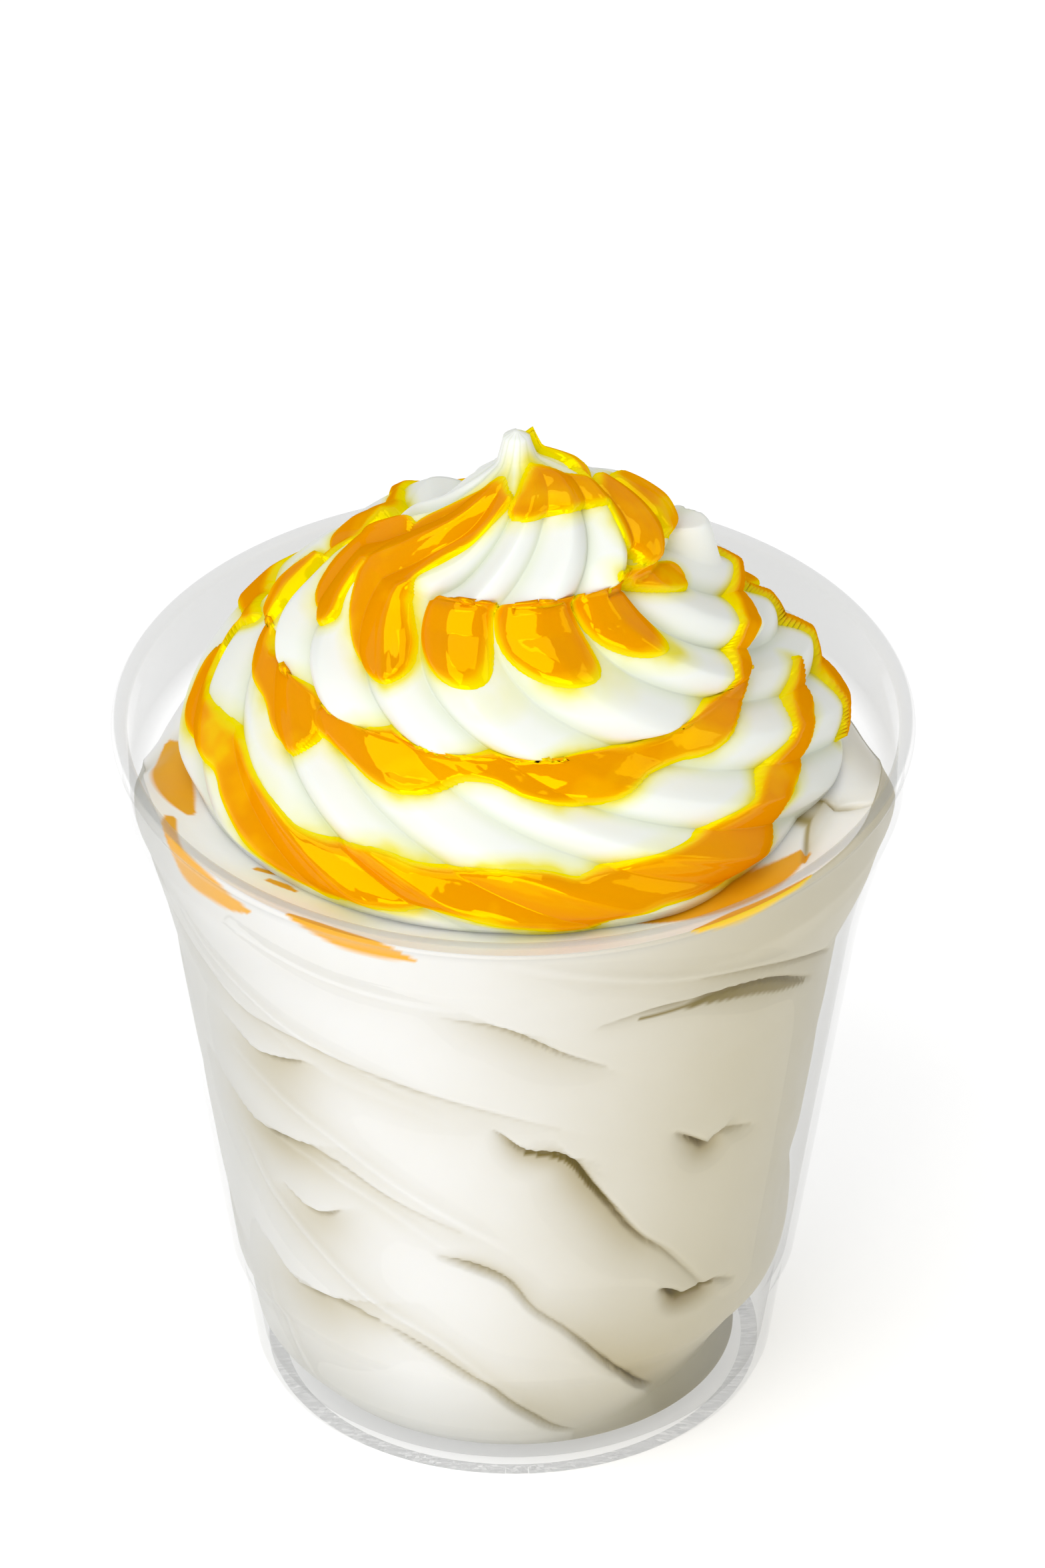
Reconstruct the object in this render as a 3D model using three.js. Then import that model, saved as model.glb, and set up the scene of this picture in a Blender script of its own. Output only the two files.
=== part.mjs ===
// A soft-serve sundae in a clear plastic cup: a wide tapered cup with a rolled rim, a filling of folded
// ice cream, and a star-nozzle swirl on top with thick ribbons of fruit sauce lying on it.
//
// Millimetres, +Z up. The origin is the middle of the circle on which the cup stands, and -Y is the front.
// Azimuths are in degrees, 0 at the front and growing towards the right (+X).
import * as THREE from 'three';

// ---- the cup ----
const CUP_HEIGHT = 92;
const RIM_RADIUS = 49; // outside of the rolled rim
const FOOT_RADIUS = 30; // the circle that touches the table
const FOOT_RING = 2; // width of the ring on which the cup stands
const PUNT_SLOPE = 1; // width of the step from that ring up to the raised middle
const WALL = 0.9;
const BASE_THICK = 1;
const PUNT_HEIGHT = 1; // the middle of the base is raised by this much
const CUP_SEGMENTS = 52;

// Outer wall from the base up: [radius, height] where the taper changes.
const BASE_EDGE = [31.6, 2.2];
const STACK_STEP_BOTTOM = [33.4, 14.2];
const STACK_STEP_TOP = [34.7, 16.6];
const SHOULDER_BOTTOM = [42.4, 65];
const SHOULDER_MIDDLE = [43.6, 70];
const SHOULDER_TOP = [46.4, 79.8];
const LID_BAND_BOTTOM = [47.6, 83];
const LID_BAND_TOP = [47.8, 88.4];
const OUTER_WALL = [
  BASE_EDGE,
  STACK_STEP_BOTTOM,
  STACK_STEP_TOP,
  SHOULDER_BOTTOM,
  SHOULDER_MIDDLE,
  SHOULDER_TOP,
  LID_BAND_BOTTOM,
  LID_BAND_TOP,
];
const RIM_ROLL = 1.1; // half the height and half the width of the rolled edge
const RIM_BEVEL = 0.4; // the roll's corners are cut off by this much
const BASE_CORNER = 1.4; // and the cup's inner corner at the base by this much

// ---- the filling ----
const GAP = 0.3; // clearance between pieces
const FILL_BOTTOM = BASE_THICK + PUNT_HEIGHT + GAP;
const FILL_FOOT_RADIUS = 27;
const FOOT_GAP = 3; // how far the filling's foot keeps back from the wall
const FOOT_GAP_RIGHT = 1.1; // by this share more on the right
const FOOT_GAP_FROM = 2.5; // heights between which it goes over to the wall
const FOOT_GAP_TOP = 10;
const FOOT_GAP_RIGHT_TOP = 16; // and how much higher it ends on the right
const FILL_WALL_FOOT = 5.2; // height at which the filling reaches the wall
const FRONT_LEVEL = 89.6; // where the filling's surface meets the wall in front
const BACK_LEVEL = 81; // and behind
const LEVEL_FALLS_FROM = 70; // it falls between these azimuths on both sides
const LEVEL_FALLS_TO = 106;
const SLOPING_ROWS = 2; // rows of facets between the last bend of the wall below the surface and the surface
const SEAT_HEIGHT = 87.7; // the level middle of the filling, on which the swirl stands
const SEAT_RADIUS = 39.4;
const FILL_COLUMNS = 72;
const FILL_ROW = 4.2; // greatest height of one row of facets
const HEAP_ROWS = 4;
const FOLD_COUNT = 10; // folds that climb round the wall
const FOLD_DEPTH = 1.5;
const FOLD_PITCH_DEGREES = 360 / FOLD_COUNT;
const FOLD_RISE = 1.5; // mm that a fold falls for each degree, on average
const FOLD_BEND = 16; // mm by which the folds are steeper on the left and flatter on the right
const FOLD_SHARPNESS = 6; // a high power makes narrow creases between wide smooth folds
const FOLD_MEAN = 0.6; // the folds' depth varies round this share of FOLD_DEPTH
const FOLD_VARIATION = 0.4;
const VARIATIONS_ROUND = 3;
const VARIATION_HEIGHT = 9; // mm for each radian of the variation
const HEAP_WAVES = 5;
const HEAP_WAVE = 0.7;

// ---- the swirl ----
const TIERS = 3;
// The line that the tiers swell out from: tier height, radius and height in mm at the foot, the two
// creases, the shoulder and the foot of the tip, its upper edge and its end.
const LINE_TIERS = [0, 1, 2, 2.74, 2.83, 2.93, 3];
const LINE_RADIUS = [40, 28.3, 17.2, 5.2, 2.2, 1.6, 0];
const LINE_HEIGHT = [88, 105, 119.3, 128.6, 130.4, 133.6, 134.3];
const SLOPE_OUT = [-11.7, -11.1, -14]; // each tier's general slope, outwards and upwards
const SLOPE_UP = [17, 14.3, 11.5];
const TIP_LEAN = 0.4; // mm that the tip stands to the right of the axis
const TIP_LEANS_FROM = 2.5;
const BULGE = [4.4, 4.6, 3.4]; // how far each tier swells out of its creases
const BULGE_SKEW = [0.75, 0.72, 0.42]; // under 1 puts the widest part low on the tier
const BULGE_ROUNDNESS = 0.62; // under 1 makes the creases deep and narrow
const LOBES = 14; // ridges round the swirl
const RIDGE_DEPTH = [2.3, 2.6, 2.3]; // mm from the top of a ridge to the bottom of a groove
const RIDGE_ROUNDNESS = 1.5; // 1 would make the ridges sharp, 2 round
const GROOVES_FROM_RADIUS = 1.5; // towards the tip the grooves run out between these radii
const GROOVES_TO_RADIUS = 10;
const TOP_GROOVE_SHARE = 0.7; // least share of their depth that grooves keep on the top tier
const BRIDGE_GROOVE_SHARE = 0.9; // and where the crease is filled
const FULLEST_AT = 80; // the top tier swells most at this azimuth
const SLIM_SHARE = 0.3; // and by this share of its bulge on the far side
const FULL_SHARE = 1.55;
const SLIM_FROM = -0.9; // cosine of the angle from FULLEST_AT at which it is slim
const FULLNESS_SETS_IN = [1.95, 2.2]; // tier heights
const BRIDGE_AT = -66; // the second crease is filled round this azimuth, where the coil runs on
const BRIDGE_HALF = 44;
const BRIDGE_REACH = [0.3, 0.8]; // tiers above and below the crease between which the filling ends
const BRIDGE_SWELL = 3.2;
const STUB_AT = [97, 1.82]; // a broken end of cream stands up at this azimuth and tier height
const STUB_HALF = [11, 0.3];
const STUB_EDGE = 0.35;
const STUB_TOP = 119.8;
const SAG = [1.6, 2.2, 2.2]; // how far the ridges hang over the crease below
const SAG_POWER = 1.5;
const HANG_START = 0.12; // share of a tier over which the overhang sets in above the crease
const TIP_TAPER = 0.35; // tiers below the tip over which bulge and ridges fade out
const SWEEP = [66, 34, -55]; // degrees that a ridge runs to the right on its way down a tier
const SWEEP_POWER = [1.1, 1.9, 1];
const FIRST_GROOVE = -6; // azimuth of the groove at the lower edge of the top tier
const UNEVEN_TWICE = 2.5; // degrees by which the ridges' spacing varies, twice round
const UNEVEN_FIVE = 2; // and five times round
const FOOT_DENT = 2.6; // mm by which the foot is narrower round this azimuth
const FOOT_DENT_AT = 60;
const FOOT_DENT_HALF = 32;
const FOOT_DENT_TOP = 0.7; // the dent ends at this tier height
const COIL_CLIMB_FROM = 95; // the coil is level in front and climbs behind this azimuth
const COIL_CLIMB = 0.5; // tiers that it climbs on each side
const COIL_TILT = 0.03; // tiers by which the coil is higher on the left than on the right
const BACK_NARROWING = 0.09; // the swirl is this much narrower behind
const BACK_DROP = 5; // mm by which the upper tiers are lower behind
const LOWEST_AT = -160; // most at this azimuth
const DROP_SETS_IN = [0.8, 2];
const DROP_FADES = 0.5; // tiers below the tip
const COLUMNS_PER_LOBE = 8;
const TIER_ROWS = [0, 0.06, 0.14, 0.24, 0.35, 0.47, 0.6, 0.73, 0.85, 0.94]; // closer near the creases
const TOP_ROWS = [2, 2.06, 2.14, 2.24, 2.35, 2.46, 2.57, 2.67, 2.74, 2.83, 2.93, 2.97];
const LOW_EDGE = 0.1; // nothing of the swirl but its flat foot lies lower than this above the foot

// ---- the sauce ----
const SAUCE_THICK = 0.8;
const SAUCE_EDGE = 0.45; // share of a ribbon's half width over which its edge rounds off
const GROOVE_FILL = 0.45; // how far a ribbon fills the grooves under it
const GROOVE_FILL_LEVEL = 0.85; // the level, as a share of a ridge, to which it fills them
const CREASE_FILL = 0.8; // how far it fills the creases
const CREASE_FILL_LEVEL = 0.55; // the level, as a share of the bulge, to which it fills them
const STROKE_STEPS = 6;
const TIER_SLOPE = 20; // mm along the surface from one crease to the next
const SURFACE_SWELL = 3.5; // mm from the crease line out to the surface, on average

// Ribbons of sauce: azimuth in degrees, height in tiers from the foot, half width in mm.
const RIBBONS = {
  crest: [[2, 2.62, 1.2], [15, 2.66, 2.4], [36, 2.68, 2.9], [54, 2.64, 2.8], [66, 2.57, 2.2],
    [68, 2.48, 1.1]],
  tip: [[112, 2.92, 0.35], [100, 2.77, 0.6], [90, 2.69, 0.7], [75, 2.6, 0.8], [68, 2.48, 0.8]],
  crown: [[88, 2.52, 1.6], [79, 2.41, 3], [71, 2.29, 3.9], [66, 2.18, 4]],
  crownSide: [[104, 2.38, 1.6], [97, 2.22, 2.8], [88, 2.1, 2.4]],
  crownShelf: [[42, 2.1, 0.6], [54, 2, 1.6], [64, 1.92, 2.4], [72, 1.84, 2.6]],
  crescent: [[-7, 2.69, 1], [-25, 2.65, 2.9], [-38, 2.55, 4], [-49, 2.39, 4.7], [-57, 2.14, 5],
    [-54, 1.92, 5.2], [-48, 1.75, 5], [-42, 1.63, 4.4], [-37, 1.56, 3]],
  crescentSide: [[-74, 2.28, 2.2], [-80, 2.13, 3.8], [-82, 1.92, 4.8], [-78, 1.72, 4.4], [-69, 1.6, 2.4]],
  crescentBack: [[-137, 1.85, 1], [-122, 1.95, 2.4], [-113, 1.88, 2.5], [-106, 1.74, 1.9],
    [-96, 1.68, 0.6]],
  waistLeft: [[-103, 1.55, 0.6], [-97, 1.34, 1.2], [-91, 1.18, 1.3], [-87, 0.98, 1.6], [-79, 0.91, 1.8],
    [-67, 0.95, 3], [-58, 0.9, 3.8], [-53, 0.84, 3.2]],
  waist: [[-49, 0.99, 2.2], [-37, 0.96, 2.9], [-27, 0.94, 3.9], [-19, 0.93, 3.1], [-12, 0.97, 2],
    [-4, 0.98, 2.1], [4, 0.92, 2.6], [13, 0.9, 3.5], [21, 0.88, 3.2], [30, 0.91, 2.1], [39, 0.91, 2],
    [49, 0.92, 3], [62, 0.94, 1.6], [70, 1, 1]],
  waistRight: [[106, 1.5, 0.9], [99, 1.37, 1.3], [91, 1.3, 1.6], [82, 1.27, 2], [75, 1.22, 2.3],
    [69, 1.13, 2], [61, 1.06, 1.4]],
  waistBack: [[106, 1.5, 0.9], [125, 1.5, 2.6], [150, 1.4, 2.2], [178, 1.42, 3.2], [205, 1.6, 2.6],
    [223, 1.82, 1]],
  footLeft: [[-99, 0.8, 0.6], [-98, 0.53, 1.1], [-91, 0.41, 1.8], [-83, 0.37, 2.9], [-67, 0.45, 2.4],
    [-58, 0.37, 2.9], [-50, 0.29, 3.3], [-42, 0.22, 3.3], [-34, 0.2, 3.5]],
  foot: [[-34, 0.2, 3.6], [-26, 0.26, 3.4], [-19, 0.25, 2.9], [-12, 0.26, 2.4], [-4, 0.26, 3],
    [4, 0.21, 3.8], [11, 0.16, 3.6], [17, 0.21, 3.1], [26, 0.24, 3], [34, 0.22, 3.4], [41, 0.22, 3.9],
    [51, 0.25, 3.5], [57, 0.37, 2.8], [66, 0.41, 2.4]],
  footRight: [[88, 0.66, 0.8], [82, 0.59, 1.7], [75, 0.56, 1.9], [70, 0.46, 2.2], [65, 0.4, 2.2]],
  footEdge: [[116, 0.8, 1.2], [112, 0.56, 1.7], [107, 0.37, 1.9], [101, 0.27, 2.1], [93, 0.24, 1.8],
    [87, 0.12, 1]],
  footBack: [[116, 0.8, 1.2], [126, 0.56, 2], [150, 0.42, 3], [178, 0.5, 2.4], [210, 0.62, 3],
    [240, 0.6, 2.4], [261, 0.8, 1.2]],
};
// Ribbons that have gathered under an overhang end at it: the tier height that they don't pass on a
// ridge. They reach higher in the grooves.
const CEILINGS = { waist: 1.04 };
const CEILING_IN_GROOVES = 0.16;
// Sauce that has run down from the second crease between two grooves: ridge number and share of the tier.
const RUNS = { 0: 0.5, 1: 0.46, 5: 0.34, 6: 0.46, 13: 0.5 };
const RUN_SQUARENESS = 2.5; // 2 would make the tongues' ends round
const RUN_TUCK = 0.05; // share of the upper tier over which they start under its overhang

// ---- colours ----
const CLEAR_PLASTIC = { color: 0xe4e6e8, roughness: 0.08, metalness: 0, transparent: true, opacity: 0.35 };
const IVORY_ICE_CREAM = { color: 0xefece2, roughness: 0.45, metalness: 0 };
const WHITE_SOFT_SERVE = { color: 0xfbfcf4, roughness: 0.4, metalness: 0 };

const degrees = THREE.MathUtils.degToRad;
const clamp = THREE.MathUtils.clamp;
const smooth = THREE.MathUtils.smoothstep;

// A point at an azimuth, a radius and a height.
function around(azimuth, radius, height) {
  const angle = degrees(azimuth);
  return new THREE.Vector3(radius * Math.sin(angle), -radius * Math.cos(angle), height);
}

// Straight-line value at x between the values that stand at the knots.
function between(knots, values, x) {
  let low = 0;
  while (low < knots.length - 2 && knots[low + 1] < x) low += 1;
  const share = clamp((x - knots[low]) / (knots[low + 1] - knots[low]), 0, 1);
  return values[low] + (values[low + 1] - values[low]) * share;
}

// A closed body from rings of points, the lowest first, with one point to close it below and one above.
function ringedSolid(rings, lowPoint, highPoint) {
  const count = rings[0].length;
  const positions = [];
  for (const ring of rings) {
    for (const point of ring) positions.push(point.x, point.y, point.z);
  }
  const low = rings.length * count;
  const high = low + 1;
  positions.push(lowPoint.x, lowPoint.y, lowPoint.z, highPoint.x, highPoint.y, highPoint.z);
  const index = [];
  for (let column = 0; column < count; column += 1) {
    const next = (column + 1) % count;
    index.push(low, next, column);
    for (let row = 0; row < rings.length - 1; row += 1) {
      const a = row * count + column;
      const b = row * count + next;
      index.push(a, b, b + count, a, b + count, a + count);
    }
    const top = (rings.length - 1) * count;
    index.push(top + column, top + next, high);
  }
  const geometry = new THREE.BufferGeometry();
  geometry.setAttribute('position', new THREE.Float32BufferAttribute(positions, 3));
  geometry.setIndex(index);
  geometry.computeVertexNormals();
  return geometry;
}

function namedMesh(name, geometry, finish) {
  const mesh = new THREE.Mesh(geometry, new THREE.MeshStandardMaterial(finish));
  mesh.name = name;
  return mesh;
}

// ---- the cup: one turned shell ----
const WALL_HEIGHTS = OUTER_WALL.map(([, height]) => height);
const WALL_RADII = OUTER_WALL.map(([radius]) => radius - WALL);

function innerRadius(height) {
  return between(WALL_HEIGHTS, WALL_RADII, height);
}

function cupGeometry() {
  const rimMiddle = CUP_HEIGHT - RIM_ROLL;
  const rimLow = CUP_HEIGHT - 2 * RIM_ROLL;
  const rimInside = LID_BAND_TOP[0] - WALL;
  const inside = OUTER_WALL.slice(1).reverse().map(([, height]) => [innerRadius(height), height]);
  const profile = [
    [0, PUNT_HEIGHT],
    [FOOT_RADIUS - FOOT_RING - PUNT_SLOPE, PUNT_HEIGHT],
    [FOOT_RADIUS - FOOT_RING, 0],
    [FOOT_RADIUS, 0],
    ...OUTER_WALL,
    [RIM_RADIUS - RIM_BEVEL, rimLow],
    [RIM_RADIUS, rimMiddle],
    [RIM_RADIUS - RIM_BEVEL, CUP_HEIGHT],
    [rimInside + RIM_BEVEL, CUP_HEIGHT],
    [rimInside, rimMiddle],
    ...inside,
    [BASE_EDGE[0] - WALL, BASE_EDGE[1] + BASE_THICK],
    [BASE_EDGE[0] - WALL - BASE_CORNER, PUNT_HEIGHT + BASE_THICK],
    [0, PUNT_HEIGHT + BASE_THICK],
  ];
  const geometry = new THREE.LatheGeometry(profile.map(([r, z]) => new THREE.Vector2(r, z)), CUP_SEGMENTS);
  geometry.rotateX(Math.PI / 2);
  return geometry;
}

// ---- the filling: folds of ice cream pressed against the wall, heaped up in the middle ----
function foldDepth(azimuth, height) {
  const angle = degrees(azimuth);
  const climb = FOLD_RISE * azimuth + FOLD_BEND * Math.cos(angle);
  const phase = (height + climb) / (FOLD_RISE * FOLD_PITCH_DEGREES);
  const across = 2 * (phase - Math.floor(phase)) - 1;
  const wave = Math.sin(VARIATIONS_ROUND * angle + height / VARIATION_HEIGHT);
  const unevenness = FOLD_MEAN + FOLD_VARIATION * wave;
  return FOLD_DEPTH * across ** FOLD_SHARPNESS * unevenness;
}

// How far the foot keeps back from the wall, more and up to a greater height on the right.
function footGap(azimuth, height) {
  const side = THREE.MathUtils.euclideanModulo(azimuth + 180, 360) - 180;
  const right = smooth(side, 0, 60) * (1 - smooth(side, 105, 150));
  const rounding = 1 - smooth(height, FOOT_GAP_FROM, FOOT_GAP_TOP + FOOT_GAP_RIGHT_TOP * right);
  return FOOT_GAP * rounding ** 2 * (1 + FOOT_GAP_RIGHT * right);
}

function fillLevel(azimuth) {
  const side = Math.abs(THREE.MathUtils.euclideanModulo(azimuth + 180, 360) - 180);
  return FRONT_LEVEL + (BACK_LEVEL - FRONT_LEVEL) * smooth(side, LEVEL_FALLS_FROM, LEVEL_FALLS_TO);
}

// Heights of the filling's level rings, one on every place where the wall's taper changes.
function levelHeights() {
  const stops = [FILL_WALL_FOOT, ...WALL_HEIGHTS.filter((z) => z > FILL_WALL_FOOT && z < BACK_LEVEL)];
  const heights = [FILL_WALL_FOOT];
  for (let stop = 1; stop < stops.length; stop += 1) {
    const rise = stops[stop] - stops[stop - 1];
    const rows = Math.ceil(rise / FILL_ROW);
    for (let row = 1; row <= rows; row += 1) heights.push(stops[stop - 1] + (rise * row) / rows);
  }
  return heights;
}

function fillGeometry() {
  const rings = [];
  const ringAt = (radiusAt, heightAt) => {
    const ring = [];
    for (let column = 0; column < FILL_COLUMNS; column += 1) {
      const azimuth = (360 * column) / FILL_COLUMNS;
      const height = heightAt(azimuth);
      ring.push(around(azimuth, radiusAt(azimuth, height), height));
    }
    rings.push(ring);
  };
  const wallRadius = (azimuth, height) =>
    innerRadius(height) - GAP - foldDepth(azimuth, height) - footGap(azimuth, height);
  ringAt(() => FILL_FOOT_RADIUS, () => FILL_BOTTOM);
  const heights = levelHeights();
  for (const height of heights) ringAt(wallRadius, () => height);
  const last = heights[heights.length - 1];
  for (let row = 1; row <= SLOPING_ROWS; row += 1) {
    ringAt(wallRadius, (azimuth) => last + ((fillLevel(azimuth) - last) * row) / SLOPING_ROWS);
  }
  for (let row = 1; row <= HEAP_ROWS; row += 1) {
    const share = row / HEAP_ROWS;
    const radiusAt = (azimuth) => {
      const edge = wallRadius(azimuth, fillLevel(azimuth));
      return edge + (SEAT_RADIUS - edge) * share;
    };
    const heightAt = (azimuth) => {
      const rise = (SEAT_HEIGHT - fillLevel(azimuth)) * Math.sin((Math.PI / 2) * share);
      const wave = HEAP_WAVE * Math.sin(Math.PI * share) * Math.sin(degrees(HEAP_WAVES * azimuth));
      return fillLevel(azimuth) + rise - Math.abs(wave);
    };
    ringAt(radiusAt, heightAt);
  }
  return ringedSolid(rings, around(0, 0, FILL_BOTTOM), around(0, 0, SEAT_HEIGHT));
}

// ---- the swirl: three swollen tiers of one coil, grooved by the nozzle, with sauce ribbons ----
function coilClimb(azimuth) {
  const side = Math.sign(azimuth) * smooth(Math.abs(azimuth), COIL_CLIMB_FROM, 180);
  return COIL_CLIMB * side + COIL_TILT * Math.sin(degrees(azimuth));
}

// How far up a ridge is: 1 on its middle line and 0 in a groove.
function ridge(phase) {
  const across = 2 * (phase - Math.floor(phase)) - 1;
  return 1 - Math.abs(across) ** RIDGE_ROUNDNESS;
}

// How far the grooves have run to the right, in degrees, where they pass a height.
function sweepTo(height) {
  const tier = clamp(Math.floor(height), 0, TIERS - 1);
  let above = 0;
  for (let upper = tier + 1; upper < TIERS; upper += 1) above += SWEEP[upper];
  return above + SWEEP[tier] * (1 - (height - tier)) ** SWEEP_POWER[tier];
}

// Where a groove starts at the tip, so that it crosses the second crease at its own azimuth.
function startAzimuth(phase) {
  const even = FIRST_GROOVE + (360 * phase) / LOBES;
  const uneven = UNEVEN_TWICE * Math.sin(degrees(2 * even)) + UNEVEN_FIVE * Math.sin(degrees(5 * even));
  return even + uneven - SWEEP[TIERS - 1];
}

// A ribbon's middle line as short steps of [azimuth, tier height, half width].
function smoothStroke(points) {
  const curve = new THREE.CatmullRomCurve3(points.map((p) => new THREE.Vector3(...p)), false, 'centripetal');
  return curve.getPoints((points.length - 1) * STROKE_STEPS);
}

const STROKES = Object.entries(RIBBONS).map(([name, points]) => {
  return [smoothStroke(points), CEILINGS[name] ?? TIERS];
});

// 1 on a ribbon's middle line, 0 at its edge, negative away from it.
function ribbonCover(azimuth, height, phase) {
  let best = -1;
  const radius = between(LINE_TIERS, LINE_RADIUS, height) + SURFACE_SWELL;
  for (const [stroke, ceiling] of STROKES) {
    const top = ceiling + CEILING_IN_GROOVES * (1 - ridge(phase));
    const below = (top - height) * TIER_SLOPE;
    for (let step = 1; step < stroke.length; step += 1) {
      const from = stroke[step - 1];
      const to = stroke[step];
      const turn = THREE.MathUtils.euclideanModulo(azimuth - from.x + 180, 360) - 180;
      const place = new THREE.Vector2(radius * degrees(turn), TIER_SLOPE * (height - from.y));
      const run = new THREE.Vector2(radius * degrees(to.x - from.x), TIER_SLOPE * (to.y - from.y));
      const share = clamp(place.dot(run) / run.lengthSq(), 0, 1);
      const away = place.distanceTo(run.multiplyScalar(share));
      best = Math.max(best, Math.min(1 - away / (from.z + (to.z - from.z) * share), below));
    }
  }
  return best;
}

// The same for the sauce that has run down between two grooves of the middle tier.
function runCover(tier, climbed, phase) {
  const number = Math.floor(phase);
  const length = RUNS[number % LOBES];
  const tucked = tier === 2 && climbed < RUN_TUCK;
  if (length === undefined || !(tier === 1 || tucked)) return -1;
  const across = Math.abs(2 * (phase - number) - 1) ** RUN_SQUARENESS;
  const down = tucked ? 0 : ((1 - climbed) / length) ** RUN_SQUARENESS;
  return 1 - (across + down) ** (1 / RUN_SQUARENESS);
}

// A round-shouldered bead of sauce: 0 outside the ribbon, 1 where it is thickest.
function beadHeight(cover) {
  return Math.sqrt(1 - (1 - clamp(cover / SAUCE_EDGE, 0, 1)) ** 2);
}

function raiseTowards(value, level, share) {
  return value + (Math.max(value, level) - value) * share;
}

// The share of its bulge that the top tier has: little behind and on the left, more on the right.
function topFullness(azimuth, height) {
  const facing = Math.cos(degrees(azimuth - FULLEST_AT));
  const full = SLIM_SHARE + (FULL_SHARE - SLIM_SHARE) * smooth(facing, SLIM_FROM, 1);
  return 1 + (full - 1) * smooth(height, ...FULLNESS_SETS_IN);
}

// How far the swirl's foot draws in on the right.
function footDent(azimuth, height) {
  const roundIt = smooth(1 - Math.abs(azimuth - FOOT_DENT_AT) / FOOT_DENT_HALF, 0, 1);
  return FOOT_DENT * roundIt * smooth(FOOT_DENT_TOP - height, 0, FOOT_DENT_TOP);
}

// 1 where the top tier runs on into the one below without a crease, 0 elsewhere.
function secondCreaseBridge(azimuth, height) {
  const away = Math.abs(THREE.MathUtils.euclideanModulo(azimuth - BRIDGE_AT + 180, 360) - 180);
  const roundIt = 1 - smooth(away, 0.5 * BRIDGE_HALF, BRIDGE_HALF);
  return roundIt * (1 - smooth(Math.abs(height - 2), ...BRIDGE_REACH));
}

// 1 on the broken end of cream and 0 elsewhere, with steep sides between.
function stubShare(azimuth, height) {
  const across = (azimuth - STUB_AT[0]) / STUB_HALF[0];
  const along = (height - STUB_AT[1]) / STUB_HALF[1];
  return smooth(1 - Math.hypot(across, along), 0, STUB_EDGE);
}

// Phase counts the grooves: whole numbers are grooves, halves are the tops of ridges.
function swirlPoint(phase, height) {
  const turned = startAzimuth(phase) + sweepTo(height);
  const azimuth = THREE.MathUtils.euclideanModulo(turned + 180, 360) - 180;
  const coil = height + coilClimb(azimuth);
  const tier = clamp(Math.floor(coil), 0, TIERS - 1);
  const climbed = clamp(coil - tier, 0, 1);
  const bead = beadHeight(Math.max(ribbonCover(azimuth, height, phase), runCover(tier, climbed, phase)));
  const lineRadius = between(LINE_TIERS, LINE_RADIUS, height);
  const bare = Math.max(Math.sin(Math.PI * climbed ** BULGE_SKEW[tier]), 0) ** BULGE_ROUNDNESS;
  const bridge = secondCreaseBridge(azimuth, height);
  const arch = raiseTowards(bare, CREASE_FILL_LEVEL, CREASE_FILL * bead);
  const crest = raiseTowards(ridge(phase), GROOVE_FILL_LEVEL, GROOVE_FILL * bead);
  const taper = smooth(TIERS - height, 0, TIP_TAPER);
  const free = BULGE[tier] * topFullness(azimuth, height) * arch * taper;
  const body = free + (BRIDGE_SWELL - free) * bridge;
  const kept = raiseTowards(raiseTowards(arch, TOP_GROOVE_SHARE, tier === 2), BRIDGE_GROOVE_SHARE, bridge);
  const depth = RIDGE_DEPTH[tier] * smooth(lineRadius, GROOVES_FROM_RADIUS, GROOVES_TO_RADIUS);
  const swell = body - depth * (1 - crest) * kept + SAUCE_THICK * bead;
  const overhang = (1 - climbed) ** SAG_POWER * smooth(climbed, 0, HANG_START) * taper * (1 - bridge);
  const hang = SAG[tier] * crest * overhang;
  const level = clamp(Math.floor(height), 0, TIERS - 1);
  const slope = new THREE.Vector2(SLOPE_OUT[level], SLOPE_UP[level]).normalize();
  const behind = (1 - Math.cos(degrees(azimuth))) / 2;
  const lower = (1 + Math.cos(degrees(azimuth - LOWEST_AT))) / 2;
  const drop = BACK_DROP * lower * smooth(height, ...DROP_SETS_IN) * smooth(TIERS - height, 0, DROP_FADES);
  const outline = (lineRadius + slope.y * swell - slope.x * hang) * (1 - BACK_NARROWING * behind ** 2);
  const radius = outline - footDent(azimuth, height);
  const bareHeight = between(LINE_TIERS, LINE_HEIGHT, height) - drop - slope.x * swell - slope.y * hang;
  const stub = stubShare(azimuth, height);
  const point = around(azimuth, radius, raiseTowards(bareHeight, STUB_TOP, stub));
  point.x += TIP_LEAN * smooth(height, TIP_LEANS_FROM, TIERS);
  return point;
}

function swirlGeometry() {
  const foot = LINE_HEIGHT[0];
  const heights = [...TIER_ROWS, ...TIER_ROWS.map((share) => 1 + share), ...TOP_ROWS];
  const rings = heights.map((height, row) => {
    const ring = [];
    for (let column = 0; column < LOBES * COLUMNS_PER_LOBE; column += 1) {
      const point = swirlPoint(column / COLUMNS_PER_LOBE, height);
      point.z = row === 0 ? foot : Math.max(point.z, foot + LOW_EDGE);
      ring.push(point);
    }
    return ring;
  });
  const tip = around(0, 0, LINE_HEIGHT[LINE_HEIGHT.length - 1]);
  tip.x += TIP_LEAN;
  return ringedSolid(rings, around(0, 0, foot), tip);
}

const sundae = new THREE.Group();
sundae.name = 'sundae';
sundae.add(namedMesh('cup', cupGeometry(), CLEAR_PLASTIC));
sundae.add(namedMesh('ice_cream_filling', fillGeometry(), IVORY_ICE_CREAM));
sundae.add(namedMesh('soft_serve_swirl', swirlGeometry(), WHITE_SOFT_SERVE));

export default sundae;
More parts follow.
